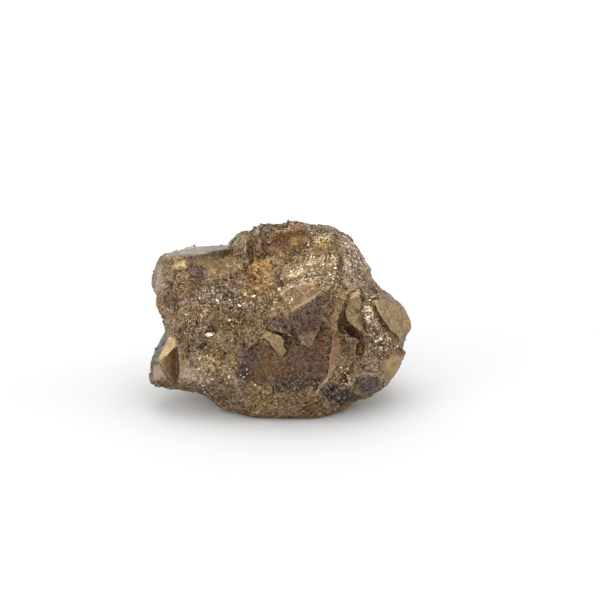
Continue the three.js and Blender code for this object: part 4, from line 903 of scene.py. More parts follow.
def crust_tree(material):
    """Splinters strewn over a skin, laid along a winding way, half sunk and made real."""
    tree = bpy.data.node_groups.new("small_crystals", "GeometryNodeTree")
    tree.interface.new_socket("Skin", in_out="INPUT", socket_type="NodeSocketGeometry")
    for name, kind, start in CRUST_INPUTS:
        socket = tree.interface.new_socket(name, in_out="INPUT", socket_type="NodeSocket" + kind)
        socket.default_value = start
    tree.interface.new_socket("Crystals", in_out="OUTPUT", socket_type="NodeSocketGeometry")
    nodes = Nodes(tree)
    given = nodes.node("NodeGroupInput").other
    seed = given("Seed")
    where = nodes.node("GeometryNodeInputNamedAttribute", {"data_type": "FLOAT"}, {"Name": given("Where")})
    points = nodes.node("GeometryNodeDistributePointsOnFaces", {"distribute_method": "POISSON"}, {
        "Mesh": given("Skin"), "Distance Min": given("Gap"), "Density Max": given("Most per area"),
        "Density Factor": where, "Seed": seed,
    })
    normal = points.other("Normal")
    winding = nodes.node(
        "ShaderNodeTexNoise", {}, {"Scale": 1.0 / given("Winding"), "Detail": 1.0}, out="Color",
    )
    upright = nodes.node("FunctionNodeAlignRotationToVector", {"axis": "Z"}, {"Vector": normal})
    along = nodes.node("FunctionNodeAlignRotationToVector", {"axis": "X", "pivot_axis": "Z"}, {
        "Rotation": upright, "Vector": nodes.vector("SUBTRACT", winding, MIDDLE_GREY),
    })
    lean = nodes.random(-MOST_LEAN, MOST_LEAN, seed, "FLOAT_VECTOR", out=0)
    turn = nodes.node("FunctionNodeRotateRotation", {"rotation_space": "LOCAL"}, {
        "Rotation": along, "Rotate By": lean,
    })
    length = nodes.random(given("Shortest"), given("Longest"), seed)
    width = nodes.random(given("Slimmest"), given("Stoutest"), seed)
    outline = nodes.node("ShaderNodeCombineXYZ", {}, {"X": 0.5, "Y": width})
    thick = nodes.node("ShaderNodeCombineXYZ", {}, {"Z": given("Thickness")})
    inward = nodes.vector("SCALE", normal, scale=given("Sunk") * -1.0)
    sunk = nodes.node("GeometryNodeSetPosition", {}, {"Geometry": points, "Offset": inward})
    strewn = nodes.node("GeometryNodeInstanceOnPoints", {}, {
        "Points": sunk, "Instance": nodes.node("GeometryNodeMeshCone", {"fill_type": "NGON"}, SPLINTER),
        "Rotation": turn, "Scale": nodes.vector("ADD", nodes.vector("SCALE", outline, scale=length), thick),
    })
    real = nodes.node("GeometryNodeRealizeInstances", {}, {"Geometry": strewn})
    painted = nodes.node("GeometryNodeSetMaterial", {}, {"Geometry": real, "Material": material})
    nodes.node("NodeGroupOutput", {}, {"Crystals": painted})
    print("the crust tree has", len(tree.nodes), "nodes and", len(CRUST_INPUTS), "inputs for sizes")
    return tree


# %% Grow them and keep a plain mesh


def set_input(modifier, name, value):
    items = modifier.node_group.interface.items_tree
    socket = next(i for i in items if i.item_type == "SOCKET" and i.in_out == "INPUT" and i.name == name)
    modifier[socket.identifier] = value


def grow_crystals(skin, name, material, **inputs):
    host = add_object(name, skin.data.copy())
    modifier = host.modifiers.new("grow", "NODES")
    modifier.node_group = crust_tree(material)
    for key, value in inputs.items():
        set_input(modifier, key.capitalize(), value)
    keep_result(host, modifier)
    host.data.shade_flat()
    print(name, "has", len(host.data.vertices) // SPLINTER_CORNERS, "splinters")
    return host


SPLINTER_CORNERS = 2 * SPLINTER["Vertices"]
tarnish = bpy.data.materials.new("tarnished_pyrite")
crystals = grow_crystals(
    lump, "pyrite_crystals", tarnish,
    gap=0.28 * MM, shortest=0.5 * MM, longest=1.3 * MM, thickness=0.22 * MM, sunk=0.15 * MM,
    slimmest=0.12, stoutest=0.28, winding=7.0 * MM,
)
slivers = grow_crystals(
    lump, "pyrite_slivers", tarnish,
    gap=0.26 * MM, shortest=0.5 * MM, longest=1.1 * MM, thickness=0.26 * MM, sunk=0.13 * MM,
    slimmest=0.1, stoutest=0.2, winding=5.0 * MM, where=SLIVER_ATTRIBUTE, seed=11,
)

# %% [markdown]
# ## Facets that flash
# A few flat facets face just so that they mirror the light above into the eye. They could be left to
# chance, but then they'd flash elsewhere, or they could be painted white, but then they'd shine in the
# shade too. Each is a little six-sided chip, half sunk into the skin, with its flat top turned halfway
# between the eye and the light.

# %% Where they flash
# middle across, middle up, width, height as the eye sees them, turn, share of clean metal
FLASHES = [
    (-12.1, 14.85, 1.6, 0.65, 20, 1.0),
    (-8.6, 16.9, 0.6, 0.4, 60, 0.3),
    (-8.3, 16.1, 0.35, 0.3, 0, 0.2),
    (-3.9, 19.6, 0.6, 0.22, 30, 0.0),
    (1.9, 22.9, 0.8, 0.3, 40, 0.1),
    (7.0, 22.3, 0.7, 0.25, -40, 0.0),
    (7.6, 28.2, 0.3, 0.35, 0, 0.2),
    (-1.9, 30.4, 0.5, 0.4, 70, 0.0),
    (-4.0, 28.5, 0.8, 0.25, -30, 0.0),
    (5.3, 28.7, 0.7, 0.25, 15, 0.0),
    (14.7, 19.4, 0.8, 0.35, 30, 0.15),
    (15.3, 18.8, 0.8, 0.4, -20, 0.15),
    (14.9, 17.3, 0.6, 0.3, 10, 0.1),
    (16.0, 12.2, 1.0, 0.3, 25, 0.1),
    (16.3, 11.6, 0.9, 0.25, 25, 0.1),
    (18.8, 10.9, 0.8, 0.25, -20, 0.0),
    (10.7, 8.0, 0.7, 0.3, 20, 0.25),
    (11.9, 7.6, 0.8, 0.3, -30, 0.2),
    (-12.6, 8.8, 1.0, 0.4, 60, 0.0),
    (-11.3, 10.6, 0.6, 0.25, 0, 0.0),
    (-13.4, 23.5, 0.7, 0.2, 10, 0.0),
    (-10.9, 20.1, 0.3, 0.4, 0, 0.1),
    (-6.9, 20.4, 0.3, 0.5, -10, 0.0),
    (-17.2, 26.6, 0.6, 0.25, 30, 0.0),
    (7.4, 30.6, 0.8, 0.3, 10, 0.0),
]
print("flashing facets:", len(FLASHES))

# %% Make the chips that flash
FLASH_WAY = Vector((0, -0.44, 0.9)).normalized()
FLASH_LEAN = 0.08
LEAN_SALT = 99
CHIP_SHAPE = [(-1.0, -0.3), (-0.4, -1.0), (0.7, -0.8), (1.0, 0.2), (0.3, 1.0), (-0.7, 0.7)]
CHIP_THICK_MM = 1.0
CHIP_FOOT = 0.6
CHIP_PROUD = 0.6
CHIP_SEARCH_MM = 0.35


def add_chip(chips, middle, facing_way, wide_mm, high_mm, turn):
    """A closed six-sided chip with its flat top at middle, and a smaller foot under it."""
    up_slope = Vector((1, 0, 0)).cross(facing_way).normalized()
    side = up_slope.cross(facing_way)
    angle = math.radians(turn)
    long_way = (side * math.cos(angle) + up_slope * math.sin(angle)) * wide_mm / 2
    short_way = (up_slope * math.cos(angle) - side * math.sin(angle)) * high_mm / 2
    short_way /= up_slope.dot(Vector(EYE_UP))
    rings = []
    for share, depth_mm in ((1.0, 0.0), (CHIP_FOOT, CHIP_THICK_MM)):
        offsets = [(long_way * x + short_way * y) * share - facing_way * depth_mm for x, y in CHIP_SHAPE]
        rings.append([chips.verts.new(middle + offset * MM) for offset in offsets])
    top, foot = rings
    chips.faces.new(top)
    chips.faces.new(foot[::-1])
    for number in range(len(top)):
        after = (number + 1) % len(top)
        chips.faces.new((top[after], top[number], foot[number], foot[after]))


def make_flashes(skin, name):
    points = corners_of(skin.data)
    across, up, behind = seen_from_eye(points)
    seen = -(normals_of(skin.data) @ EYE_AHEAD) > 0.1
    chips = bmesh.new()
    for number, (across_mm, up_mm, wide_mm, high_mm, turn, _) in enumerate(FLASHES):
        close = seen & (np.hypot(across - across_mm, up - up_mm) < CHIP_SEARCH_MM)
        foremost = Vector(points[close][np.argmin(behind[close])])
        middle = foremost - Vector(EYE_AHEAD) * (high_mm * CHIP_PROUD * MM)
        lean = Vector(scatter(np.array([[number, 0, 0]]), LEAN_SALT)[0] * 2 - 1) * FLASH_LEAN
        add_chip(chips, middle, (FLASH_WAY + lean).normalized(), wide_mm, high_mm, turn)
    bmesh.ops.recalc_face_normals(chips, faces=chips.faces)
    mesh = bpy.data.meshes.new(name)
    chips.to_mesh(mesh)
    chips.free()
    return add_object(name, mesh)


flashes = make_flashes(lump, "pyrite_flashes")
print("the chips have", open_edges(flashes.data), "open edges")

# %% [markdown]
# ## Stains and tarnish
# Pyrite is pale brass yellow where it is fresh. This lump is tarnished to brown, with purple and grey
# films, olive and ochre rust in the hollows, and one golden stain. Each stain is an ellipse that the eye
# sees, with one of a few named colours, and some are light or shade: the blackish brown ones are painted
# shade, under ledges and in hollows, crevices and cracks, and the cream ones are painted highlights. The
# edges are broken up by noise, so that none looks stamped.

# %% The stains
# middle across, middle up, half width, half height, turn, colour, strength
STAINS = [
    (-3.6, 24.0, 2.6, 1.8, 20, "tan", 0.9),
    (-3.0, 26.4, 2.3, 1.2, 8, "gold", 1.0),
    (-5.4, 26.2, 1.2, 1.2, 0, "ochre", 0.5),
    (-7.0, 24.6, 0.7, 0.6, 0, "rust", 0.6),
    (-10.0, 26.4, 2.2, 0.8, 10, "ochre", 0.35),
    (-11.6, 22.8, 3.2, 1.2, -14, "slate", 0.7),
    (-17.5, 26.4, 1.2, 0.8, 20, "brass", 0.7),
    (-3.9, 29.9, 1.2, 1.8, 0, "bark", 0.7),
    (2.0, 26.6, 2.0, 1.0, 20, "sand", 0.4),
    (11.9, 14.4, 2.4, 0.35, -16, "painted_shade", 1.0),
    (10.6, 17.6, 0.7, 1.6, 0, "beige", 0.9),
    (13.7, 12.0, 0.5, 0.9, 0, "ochre", 0.6),
    (18.0, 8.0, 0.8, 1.7, 20, "slate", 0.7),
    (18.4, 20.6, 1.2, 0.8, 0, "mauve", 0.6),
    (1.0, 30.0, 2.6, 1.6, 0, "painted_shade", 0.35),
    (2.4, 30.6, 1.0, 0.8, 20, "ochre", 0.6),
    (-7.4, 22.9, 1.6, 0.7, -20, "painted_shade", 0.35),
    (-14.5, 29.0, 6.5, 0.9, 4, "mauve", 0.12),
    (14.9, 6.0, 2.0, 1.4, 0, "stone", 0.3),
    (-19.4, 23.6, 1.6, 2.6, 0, "pale", 0.6),
    (-18.8, 22.8, 0.3, 1.3, 0, "umber", 0.8),
    (-5.4, 28.6, 0.5, 2.5, 0, "umber", 0.8),
    (-1.8, 30.2, 1.0, 1.6, 0, "rose", 0.5),
    (1.4, 31.6, 2.4, 0.7, 0, "rust", 0.4),
    (1.6, 33.1, 3.2, 0.8, 0, "rose", 0.5),
    (7.3, 30.5, 1.3, 1.1, 0, "sun", 0.6),
    (7.3, 30.3, 1.0, 0.8, 0, "gold", 0.7),
    (7.0, 31.6, 2.6, 0.9, -10, "sand", 0.7),
    (8.8, 31.6, 1.6, 1.0, -30, "moss", 0.6),
    (5.0, 27.4, 3.4, 1.6, 30, "ochre", 0.35),
    (9.0, 26.6, 0.9, 3.2, 0, "brass", 0.5),
    (10.1, 26.6, 0.3, 3.4, 0, "umber", 0.8),
    (12.0, 28.6, 1.4, 2.2, 30, "pale", 0.4),
    (5.0, 25.1, 3.8, 1.7, 20, "sun", 0.45),
    (14.2, 24.4, 1.6, 1.6, 0, "olive", 0.5),
    (-0.5, 21.8, 2.6, 1.4, 20, "umber", 0.35),
    (-13.6, 18.6, 1.8, 2.6, 10, "beige", 0.4),
    (-8.0, 18.0, 3.8, 2.6, 0, "dark", 0.15),
    (-11.0, 21.4, 4.0, 1.4, -8, "stone", 0.8),
    (-6.4, 21.4, 1.8, 0.8, 0, "olive", 0.5),
    (-18.4, 16.6, 1.4, 2.0, -20, "sand", 0.6),
    (-20.6, 18.6, 0.9, 1.2, 0, "ochre", 0.7),
    (-15.2, 16.2, 1.0, 1.8, -20, "rose", 0.35),
    (-13.6, 12.5, 1.6, 0.6, 10, "painted_shade", 0.55),
    (-15.9, 12.2, 0.3, 1.3, 10, "painted_shade", 0.5),
    (-13.4, 11.2, 1.2, 0.8, 0, "rust", 0.5),
    (-14.6, 7.6, 3.0, 2.8, 0, "pale", 0.9),
    (-12.2, 9.9, 1.8, 1.3, 20, "brass", 0.8),
    (-12.3, 10.3, 1.5, 0.8, 20, "gold", 0.6),
    (-18.9, 9.8, 1.2, 1.6, 0, "rose", 0.3),
    (-11.2, 9.6, 0.5, 0.8, 40, "rust", 0.6),
    (-8.4, 8.9, 1.5, 3.0, -30, "brass", 0.6),
    (-9.0, 12.4, 2.4, 1.4, 0, "beige", 0.4),
    (-5.6, 14.6, 1.8, 1.0, 0, "beige", 0.5),
    (-5.6, 9.2, 1.5, 2.6, -20, "dusk", 0.7),
    (-1.4, 9.6, 2.2, 2.2, 0, "umber", 0.6),
    (4.2, 10.4, 2.8, 2.8, 0, "plum", 0.6),
    (6.6, 13.2, 1.6, 1.8, 0, "rust", 0.4),
    (2.6, 5.8, 5.4, 1.3, 0, "dusk", 0.85),
    (-6.6, 7.8, 1.2, 2.4, 20, "dusk", 0.5),
    (-4.0, 4.6, 2.2, 0.7, 0, "rose", 0.5),
    (-8.0, 3.4, 3.0, 1.4, -10, "slate", 0.5),
    (2.4, 2.8, 5.4, 1.4, 0, "umber", 0.4),
    (0.5, 11.5, 0.5, 0.7, 0, "gold", 0.5),
    (4.5, 15.1, 2.2, 0.6, 0, "plum", 0.6),
    (3.2, 16.8, 1.2, 1.2, 0, "plum", 0.6),
    (7.5, 17.4, 0.4, 0.45, 0, "pale", 0.8),
    (12.4, 16.2, 1.4, 0.9, -40, "rose", 0.5),
    (-21.6, 24.6, 0.5, 2.0, 0, "rose", 0.5),
    (4.8, 1.8, 2.4, 0.8, 0, "rust", 0.5),
    (9.8, 4.3, 2.9, 1.4, -10, "ink", 1.3),
    (9.4, 4.2, 2.2, 1.0, -10, "painted_shade", 0.35),
    (8.8, 2.1, 2.2, 0.5, 0, "rose", 0.5),
    (14.4, 3.8, 1.6, 0.5, 0, "moss", 0.6),
    (11.0, 7.2, 1.5, 1.7, 0, "umber", 0.35),
    (11.4, 7.6, 0.9, 0.8, 0, "gold", 0.8),
    (17.8, 12.0, 3.2, 1.2, 0, "umber", 0.7),
    (15.4, 9.8, 1.8, 0.8, 0, "pale", 0.4),
    (19.8, 9.0, 0.7, 1.4, -30, "rose", 0.8),
    (14.9, 18.3, 1.1, 1.5, 12, "cream", 0.45),
    (14.2, 20.9, 0.4, 0.9, 20, "painted_shade", 0.6),
    (14.2, 16.6, 0.2, 1.7, 8, "painted_shade", 0.6),
    (1.2, 22.6, 1.6, 0.5, 40, "cream", 0.5),
    (5.0, 24.75, 3.6, 0.25, 3, "cream", 0.4),
    (-0.3, 14.95, 1.8, 0.2, -14, "painted_shade", 0.8),
]
print("stains:", len(STAINS), "in", len({stain[5] for stain in STAINS}), "colours")

# %% Paint the stains onto a mesh
# colour, strength, then cloud width in mm, salt, and where the clouds begin and are full
MOTTLING = [
    ("sand", 0.5, 2.4, 50, 0.0, 0.6),
    ("umber", 0.5, 3.2, 51, 0.0, 0.6),
    ("mauve", 0.5, 2.8, 52, 0.0, 0.6),
    ("moss", 0.5, 2.6, 54, 0.0, 0.6),
]
MOTTLING_BEHIND = [
    ("plum", 0.8, 5.0, 60, 0.2, 0.6),
    ("olive", 0.7, 6.0, 61, 0.2, 0.7),
    ("ochre", 0.7, 4.4, 62, 0.4, 0.8),
    ("dark", 0.7, 8.0, 63, 0.0, 0.7),
]
GRAIN_HUES = ("olive", "mauve", "silver", "sand", "umber", "brass")
GRAIN_HUE_SHARE = 0.1
FACE_COVER = 0.9
PAINTED_CREST_HIGHLIGHT = 0.45
PAINTED_CRACK_SHADE = 0.5
PAINTED_RIM_SHADE = 0.8


def paint_tint(points, normals, pick):
    """The tint of every corner: mottled brown, grain hues, faces, stains, painted highlights and shade."""
    place = points / MM
    tint = np.repeat(PALETTE["brown"][None], len(points), 0)
    facing = front_share(normals)

    def lay(colour, amount):
        nonlocal tint
        tint = tint + (PALETTE[colour] - tint) * amount[:, None]

    for rows, share in ((MOTTLING, 1.0), (MOTTLING_BEHIND, 1 - facing)):
        for colour, strength, *clouding in rows:
            lay(colour, patches(place, *clouding) * strength * share)
    hue = np.floor(pick * len(GRAIN_HUES))
    for number, colour in enumerate(GRAIN_HUES):
        lay(colour, (hue == number) * GRAIN_HUE_SHARE)
    crisp = shaken(points, CRISP_EDGES)
    for name, (colour, *_) in CRYSTAL_FACES.items():
        lay(colour, face_mask(*crisp, name) * FACE_COVER * facing)
    ragged = shaken(points, RAGGED_EDGES)
    patchy = 0.8 + 0.3 * clouds(place, 0.9, 64)
    for *ellipse, colour, strength in STAINS:
        lay(colour, stain_mask(*ragged, *ellipse) * np.minimum(strength * patchy, 1) * facing)
    # a painted highlight along the listed crests
    lay("cream", line_mask(*crisp, CREST_HIGHLIGHTS, CREST_REACH_MM) * PAINTED_CREST_HIGHLIGHT * facing)
    # painted shade in the cracks and veins
    lay("painted_shade", cracks_at(points, normals) * PAINTED_CRACK_SHADE)
    # painted shade: a dusky rim where the surface turns away from the eye
    turned_aside = 1 - smooth_step(np.abs(normals @ EYE_AHEAD), 0.08, 0.34)
    lay("dusk", turned_aside * PAINTED_RIM_SHADE)
    return tint


print("mottled with", len(MOTTLING), "colours, and behind with", len(MOTTLING_BEHIND), "more")

# %% Dress the pieces for the material
STREAK_LIFT = np.array([0.36, 0.29, 0.22])
DARKEST = np.array([0.02, 0.014, 0.01])
LONG_GRAIN_TONE = 0.36


def dress(piece, points, normals, near=0.0, wide=0.0, pick=0.0, lift=0.0, bright=0.0, grainy=1.0):
    """Keep on every corner what the material reads there."""
    given = (near, wide, pick, lift, bright)
    near, wide, pick, lift, bright = (np.broadcast_to(values, len(points)) for values in given)
    sugar = (1 - smoothness_at(points, normals)) * grainy
    for kind, size_mm, salt, *_ in GRAIN_LAYERS:
        if kind is long_grains:
            lift = lift + (kind(points / MM, size_mm, salt)[1] - 0.5) * LONG_GRAIN_TONE * sugar
    tint = paint_tint(points, normals, pick)
    lift = lift * (0.3 + 0.7 * np.minimum(tint[:, 1] / PALETTE["brown"][1], 1.2))
    across, up, _ = seen_from_eye(points)
    for name, values in {
        "tint": np.maximum(tint + lift[:, None] * STREAK_LIFT, DARKEST),
        "glitter": glitter_at(points, normals),
        "sugar": sugar,
        "striped": face_mask(across, up, "corner_bright") * front_share(normals),
        "mirror": bright,
        "near_hollow": near,
        "wide_hollow": wide,
    }.items():
        store(piece.data, name, values)


HUE_GRAIN_MM = 1.1
HUE_SALT = 90
skin_places = corners_of(lump.data)
hues = grains(skin_places / MM, HUE_GRAIN_MM, HUE_SALT)[1]
dress(lump, skin_places, normals_of(lump.data), near_hollow, wide_hollow, pick=hues)
print("the skin carries", len(lump.data.attributes), "attributes")

# %% Dress the flashes
CHIP_GRAIN = 0.4
in_one_chip = 2 * len(CHIP_SHAPE)
chip_places = corners_of(flashes.data)
on_top = np.arange(len(chip_places)) % in_one_chip < len(CHIP_SHAPE)
clean = np.repeat([flash[-1] for flash in FLASHES], in_one_chip)
towards_eye = np.repeat(-EYE_AHEAD[None], len(chip_places), 0)
dress(flashes, chip_places, towards_eye, bright=on_top * clean, grainy=CHIP_GRAIN)
print("chips of clean metal:", int((clean[::in_one_chip] > 0).sum()))

# %% Dress the splinters
SPLINTER_GRAIN = 0.35
TONE_SALT = 95
TONES_PER_MM = 10
LEAST_BRIGHT_SHARE = 0.01
nearest = KDTree(len(skin_places))
for number, point in enumerate(skin_places):
    nearest.insert(point, number)
nearest.balance()


def dress_splinters(piece, darkest_lift, lightest_lift, bright_share):
    """Give every splinter one tone, and what the skin's corner nearest to its middle has."""
    middles = corners_of(piece.data).reshape(-1, SPLINTER_CORNERS, 3).mean(1)
    under = np.repeat([nearest.find(middle)[1] for middle in middles], SPLINTER_CORNERS)
    places = middles.repeat(SPLINTER_CORNERS, 0)
    normals = normals_of(lump.data)[under]
    chance = scatter(np.floor(places / MM * TONES_PER_MM), TONE_SALT)
    even = chance[:, 0] * 2 - 1
    lift = np.where(even < 0, darkest_lift, lightest_lift) * np.abs(even) ** 1.6
    share = LEAST_BRIGHT_SHARE + bright_share * glitter_at(places, normals)
    bright = (chance[:, 1] < share) * 1.0
    # halved and lowered, so that splinters get less painted shade and a little painted ridge highlight
    near = near_hollow[under] * 0.5 - 0.2
    dress(piece, places, normals, near, wide_hollow[under], chance[:, 2], lift, bright, SPLINTER_GRAIN)
    print(piece.name, "has", round(float(bright.mean()) * 100, 1), "percent bright splinters")


dress_splinters(crystals, -0.4, 0.5, 0.1)
dress_splinters(slivers, -0.3, 1.2, 0.4)

# %% [markdown]
# ## The tarnished metal
# Pyrite is opaque and metallic, so most of its look is reflection: each grain mirrors another part of
# the room. Its tarnish is a thin dull film, so the material is only a little more than half metal. One
# material serves all pieces. Cells of Voronoi noise stand for the grains and turn the surface's normal a
# little each, which makes the glitter. Noise draws short strokes and seams between long grains, as painted
# highlights and painted shade that are also raised and sunk in the bump, and the tint comes from the
# painted attribute. A picture texture would be quicker, but it would fix the detail at one size.

# %% Patterns for the material
PER_METRE = 1000.0
STROKE_MM = 0.75
SPARK_MM = 0.27
SPARK_TURNS = ((0.5, 0.3, 0.9), (-0.9, 0.6, -0.5))
SEAM_MM = 1.1
STRIPE_MM = 0.36
STRIPE_ACROSS = EYE_UP + np.array([0.12, 0, 0])


def cells(nodes, place, size_mm, out="Color", feature="F1"):
    """Voronoi cells about size_mm wide."""
    sockets = {"Vector": place, "Scale": PER_METRE / size_mm}
    return nodes.node("ShaderNodeTexVoronoi", {"feature": feature}, sockets, out)


def noise(nodes, place, size_mm, detail, out=0):
    sockets = {"Vector": place, "Scale": PER_METRE / size_mm, "Detail": detail}
    return nodes.node("ShaderNodeTexNoise", {}, sockets, out)


def channel(nodes, colour, out=0):
    return nodes.node("ShaderNodeSeparateColor", {}, {"Color": colour}, out)


def stretched(nodes, place, squeeze=0.22, turn=SPARK_TURNS[0]):
    """The place squeezed along one slanting direction, which draws noise out into streaks."""
    sockets = {"Vector": place, "Rotation": turn, "Scale": (1.0, squeeze, 1.0)}
    return nodes.node("ShaderNodeMapping", {}, sockets)


def stripes(nodes, place):
    """The fine parallel growth lines across the corner crystal's bright face: 1 in each line."""
    along = nodes.vector("DOT_PRODUCT", place, tuple(STRIPE_ACROSS), out=1)
    wave = (along * (math.tau * PER_METRE / STRIPE_MM)).maths("SINE")
    return wave.step(0.1, 0.9) * nodes.attribute("striped")


def spark(nodes, place):
    """Long thin cells from 0 to 1, laid two ways that take turns from place to place."""
    laid = [
        channel(nodes, cells(nodes, stretched(nodes, place, 0.4, turn), SPARK_MM)).maths("POWER", 1.6)
        for turn in SPARK_TURNS
    ]
    first = noise(nodes, place, 3.0, 1.0).step(0.45, 0.55)
    return laid[0] * first + laid[1] * (1.0 - first)


def thin_line(value, middle, low, high):
    """1 where a value is near middle, and 0 elsewhere."""
    return 1.0 - (value - middle).maths("ABSOLUTE").step(low, high)


def strokes_and_seams(nodes, place):
    """Painted highlight crests and painted shade grooves: short curved strokes, and seams between grains.
    """
    level = noise(nodes, place, STROKE_MM, 1.5)
    broken = noise(nodes, stretched(nodes, place), 1.1, 1.0).step(0.42, 0.56)
    crest = thin_line(level, 0.52, 0.015, 0.055) * broken
    groove = thin_line(level, 0.44, 0.015, 0.055) * broken
    beside = cells(nodes, stretched(nodes, place, 0.45), SEAM_MM, 0, "DISTANCE_TO_EDGE")
    broken = noise(nodes, place, 1.3, 1.0).step(0.5, 0.6)
    edge = thin_line(beside, 0.15, 0.02, 0.07) * broken
    seam = (1.0 - beside.step(0.02, 0.08)) * broken
    return crest.maths("MAXIMUM", edge), groove.maths("MAXIMUM", seam)


print("growth lines are", STRIPE_MM, "mm apart, and sparks are", SPARK_MM, "mm wide")

# %% What the material shows
FINE_GRAIN_MM = 0.25
SPECK_MM = 0.6
SPECK_SHARE = 0.3
TINT_GAIN = 0.88


def tarnish_colour(nodes, place, skin):
    """The tint, uneven, with films, painted shade in pits and hollows, painted highlights and glints."""
    sugar, near = skin["sugar"], skin["near_hollow"]
    uneven = (spark(nodes, place) - 0.4) * (sugar * (skin["glitter"] + 0.7) + 0.1)
    # the crests add a painted highlight and the grooves painted shade
    uneven = uneven + skin["crest"] * sugar * (skin["glitter"] * 1.2 + 0.5)
    uneven = uneven - skin["groove"] * sugar * 0.6
    mottle = noise(nodes, place, 0.5, 5.0) - 0.5
    streaks = noise(nodes, stretched(nodes, place), 0.9, 4.0) - 0.5
    strength = mottle * 0.25 + streaks * 0.3 - skin["lines"] * 0.4 + TINT_GAIN
    colour = nodes.vector("SCALE", nodes.attribute("tint", "Color"), scale=strength)
    colour = nodes.vector("ADD", colour, nodes.vector("SCALE", tuple(STREAK_LIFT), scale=uneven))
    colour = nodes.vector("MAXIMUM", colour, tuple(DARKEST))
    chosen = 1.0 - channel(nodes, cells(nodes, place, SPECK_MM)).step(SPECK_SHARE, SPECK_SHARE + 0.04)
    specks = 1.0 - cells(nodes, place, SPECK_MM, "Distance").step(0.14, 0.26)
    for cover, strength, name in (
        (noise(nodes, place, 4.0, 4.0).step(0.52, 0.68), 0.3, "plum"),
        # painted shade: in tiny pits, then in hollows near by and wide
        (specks * chosen * (sugar * 0.7 + 0.3), 0.7, "painted_shade"),
        (near.step(0.1, 0.9), 0.2, "painted_shade"),
        (skin["wide_hollow"].step(0.15, 0.9), 0.35, "painted_shade"),
        # a painted highlight on ridges
        ((near * -1.0).step(0.2, 0.95), 0.2, "cream"),
        # painted glints in scattered cells, then the clean metal of the chips that flash
        (skin["flecks"], 0.8, "glint"),
        (skin["mirror"], 1.0, "glint"),
    ):
        colour = nodes.mix(cover * strength, colour, (*PALETTE[name], 1))
    return colour


def turned_normal(nodes, place, skin):
    """The surface's normal, turned a little another way in every grain, and then bumpy."""
    flat = nodes.node("ShaderNodeNewGeometry", out="Normal")
    turn = nodes.vector("SUBTRACT", skin["fine"], MIDDLE_GREY)
    turned = nodes.vector("ADD", flat, nodes.vector("SCALE", turn, scale=skin["sugar"] * 0.3 + 0.12))
    height = noise(nodes, place, 0.45, 4.0) + noise(nodes, stretched(nodes, place), 0.5, 4.0)
    height = height + (skin["crest"] - skin["groove"]) * skin["sugar"] - skin["lines"] * 0.8
    sockets = {"Strength": 0.4, "Distance": 0.1 * MM, "Height": height}
    return nodes.node("ShaderNodeBump", {}, {**sockets, "Normal": nodes.vector("NORMALIZE", turned)})


print("specks lie in", round(SPECK_SHARE * 100), "percent of the cells, which are", SPECK_MM, "mm wide")

# %% The material itself
BEND_MM = 0.7
BEND_BY_MM = 0.5
METAL_SHARE = 0.6
LEAST_ROUGH = 0.2


def build_tarnish(material):
    material.use_nodes = True
    nodes = Nodes(material.node_tree)
    unbent = nodes.node("ShaderNodeTexCoord", out="Object")
    bend = nodes.vector("SUBTRACT", noise(nodes, unbent, BEND_MM, 2.0, "Color"), MIDDLE_GREY)
    place = nodes.vector("ADD", unbent, nodes.vector("SCALE", bend, scale=BEND_BY_MM * MM))
    names = ("sugar", "glitter", "near_hollow", "wide_hollow", "mirror")
    skin = {name: nodes.attribute(name) for name in names}
    skin["lines"] = stripes(nodes, unbent)
    skin["crest"], skin["groove"] = strokes_and_seams(nodes, place)
    skin["fine"] = cells(nodes, place, FINE_GRAIN_MM)
    # painted glints: a few fine cells where it glitters get a near-white colour and less roughness
    rare = channel(nodes, skin["fine"], 1) - (1.0 - skin["glitter"] * 0.06)
    skin["flecks"] = rare.step(0.0, 0.02) * skin["sugar"].step(0.15, 0.4)
    film_free = METAL_SHARE - skin["near_hollow"].step(0.1, 0.9) * 0.3
    rough = channel(nodes, skin["fine"], 2) * 0.2 + LEAST_ROUGH
    metal = nodes.node("ShaderNodeBsdfPrincipled", {}, {
        "Base Color": tarnish_colour(nodes, place, skin),
        "Specular Tint": (0.6, 0.56, 0.54, 1),
        "IOR": 2.0,
        "Metallic": film_free * (1.0 - skin["mirror"]) + skin["mirror"],
        "Roughness": rough - skin["flecks"] * 0.15 - skin["mirror"] * 0.15,
        "Normal": turned_normal(nodes, place, skin),
    })
    nodes.node("ShaderNodeOutputMaterial", {}, {"Surface": metal})


build_tarnish(tarnish)
for piece in (lump, flashes):
    piece.data.materials.clear()
    piece.data.materials.append(tarnish)
print("material nodes:", len(tarnish.node_tree.nodes))

# %% [markdown]
# ## The floor and the light
# The specimen stands on a white seamless floor under one wide soft light from above and two from the
# sides. A metal shows what it mirrors, so the room matters as much as the lights. It is darker on the
# camera's side, which gives the brown front its depth.

# %% Floor and lights
FLOOR_SIZE = 6.0
FLOOR_WHITE = (0.87, 0.88, 0.88, 1)
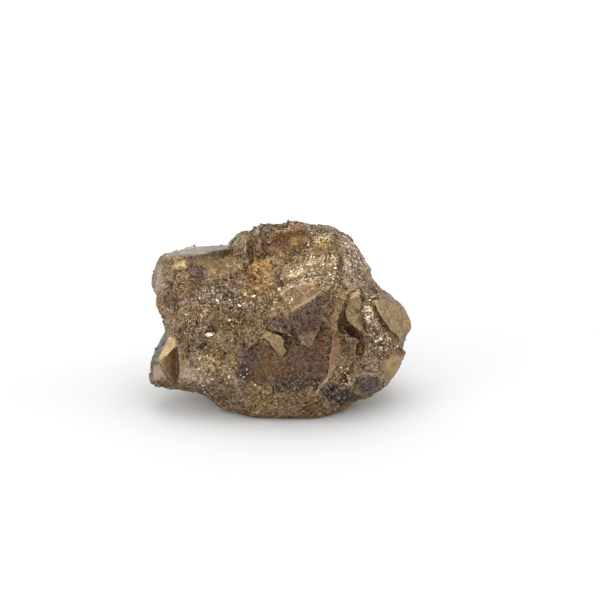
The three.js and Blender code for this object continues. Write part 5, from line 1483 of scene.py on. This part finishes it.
# name, place, width and height, power
SOFTBOXES = [
    ("top_softbox", (0.0, 0.25, 0.9), (0.8, 0.5), 2.2),
    ("left_softbox", (-0.8, -0.45, 0.4), (0.5, 0.5), 2.0),
    ("right_softbox", (0.9, 0.0, 0.45), (0.5, 0.5), 1.4),
]
LIT_POINT = Vector((0, 0, 0.01))


def make_floor():
    bpy.ops.mesh.primitive_plane_add(size=FLOOR_SIZE, location=(0, 0, 0))
    floor = bpy.context.object
    floor.name = "floor"
    paint = bpy.data.materials.new("white_floor")
    paint.use_nodes = True
    nodes = Nodes(paint.node_tree)
    sockets = {"Base Color": FLOOR_WHITE, "Roughness": 0.9, "Specular IOR Level": 0.1}
    white = nodes.node("ShaderNodeBsdfPrincipled", {}, sockets)
    nodes.node("ShaderNodeOutputMaterial", {}, {"Surface": white})
    floor.data.materials.append(paint)


def make_softbox(name, place, size, power):
    data = bpy.data.lights.new(name, "AREA")
    data.shape = "RECTANGLE"
    data.size, data.size_y = size
    data.energy = power
    look_along(add_object(name, data), place, LIT_POINT - Vector(place))


make_floor()
for softbox in SOFTBOXES:
    make_softbox(*softbox)
print("lights:", len(SOFTBOXES))

# %% The room that the metal mirrors
BRIGHT_WAY = Vector((0, 0.45, 0.9)).normalized()
ROOM_BRIGHT = 1.0
ROOM_DARK = 0.35


def make_world():
    """A white room that is brightest above and behind the lump."""
    world = bpy.data.worlds.new("white_room")
    world.use_nodes = True
    nodes = Nodes(world.node_tree)
    way = nodes.node("ShaderNodeTexCoord", out="Generated")
    upwards = nodes.vector("DOT_PRODUCT", way, tuple(BRIGHT_WAY), out=1)
    strength = upwards.step(-0.2, 0.8) * (ROOM_BRIGHT - ROOM_DARK) + ROOM_DARK
    room = nodes.node("ShaderNodeBackground", {}, {"Color": (1, 1, 1, 1), "Strength": strength})
    nodes.node("ShaderNodeOutputWorld", {}, {"Surface": room})
    bpy.context.scene.world = world


make_world()
bpy.context.scene.view_settings.view_transform = "Standard"
print("the room's light falls from", ROOM_BRIGHT, "to", ROOM_DARK)

# %% Fasten the pieces to the frame
for piece in (lump, crystals, slivers, flashes):
    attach(piece, "root")
    piece.data.calc_loop_triangles()
    print(piece.name, "has", len(piece.data.loop_triangles), "triangles")
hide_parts(NODE)
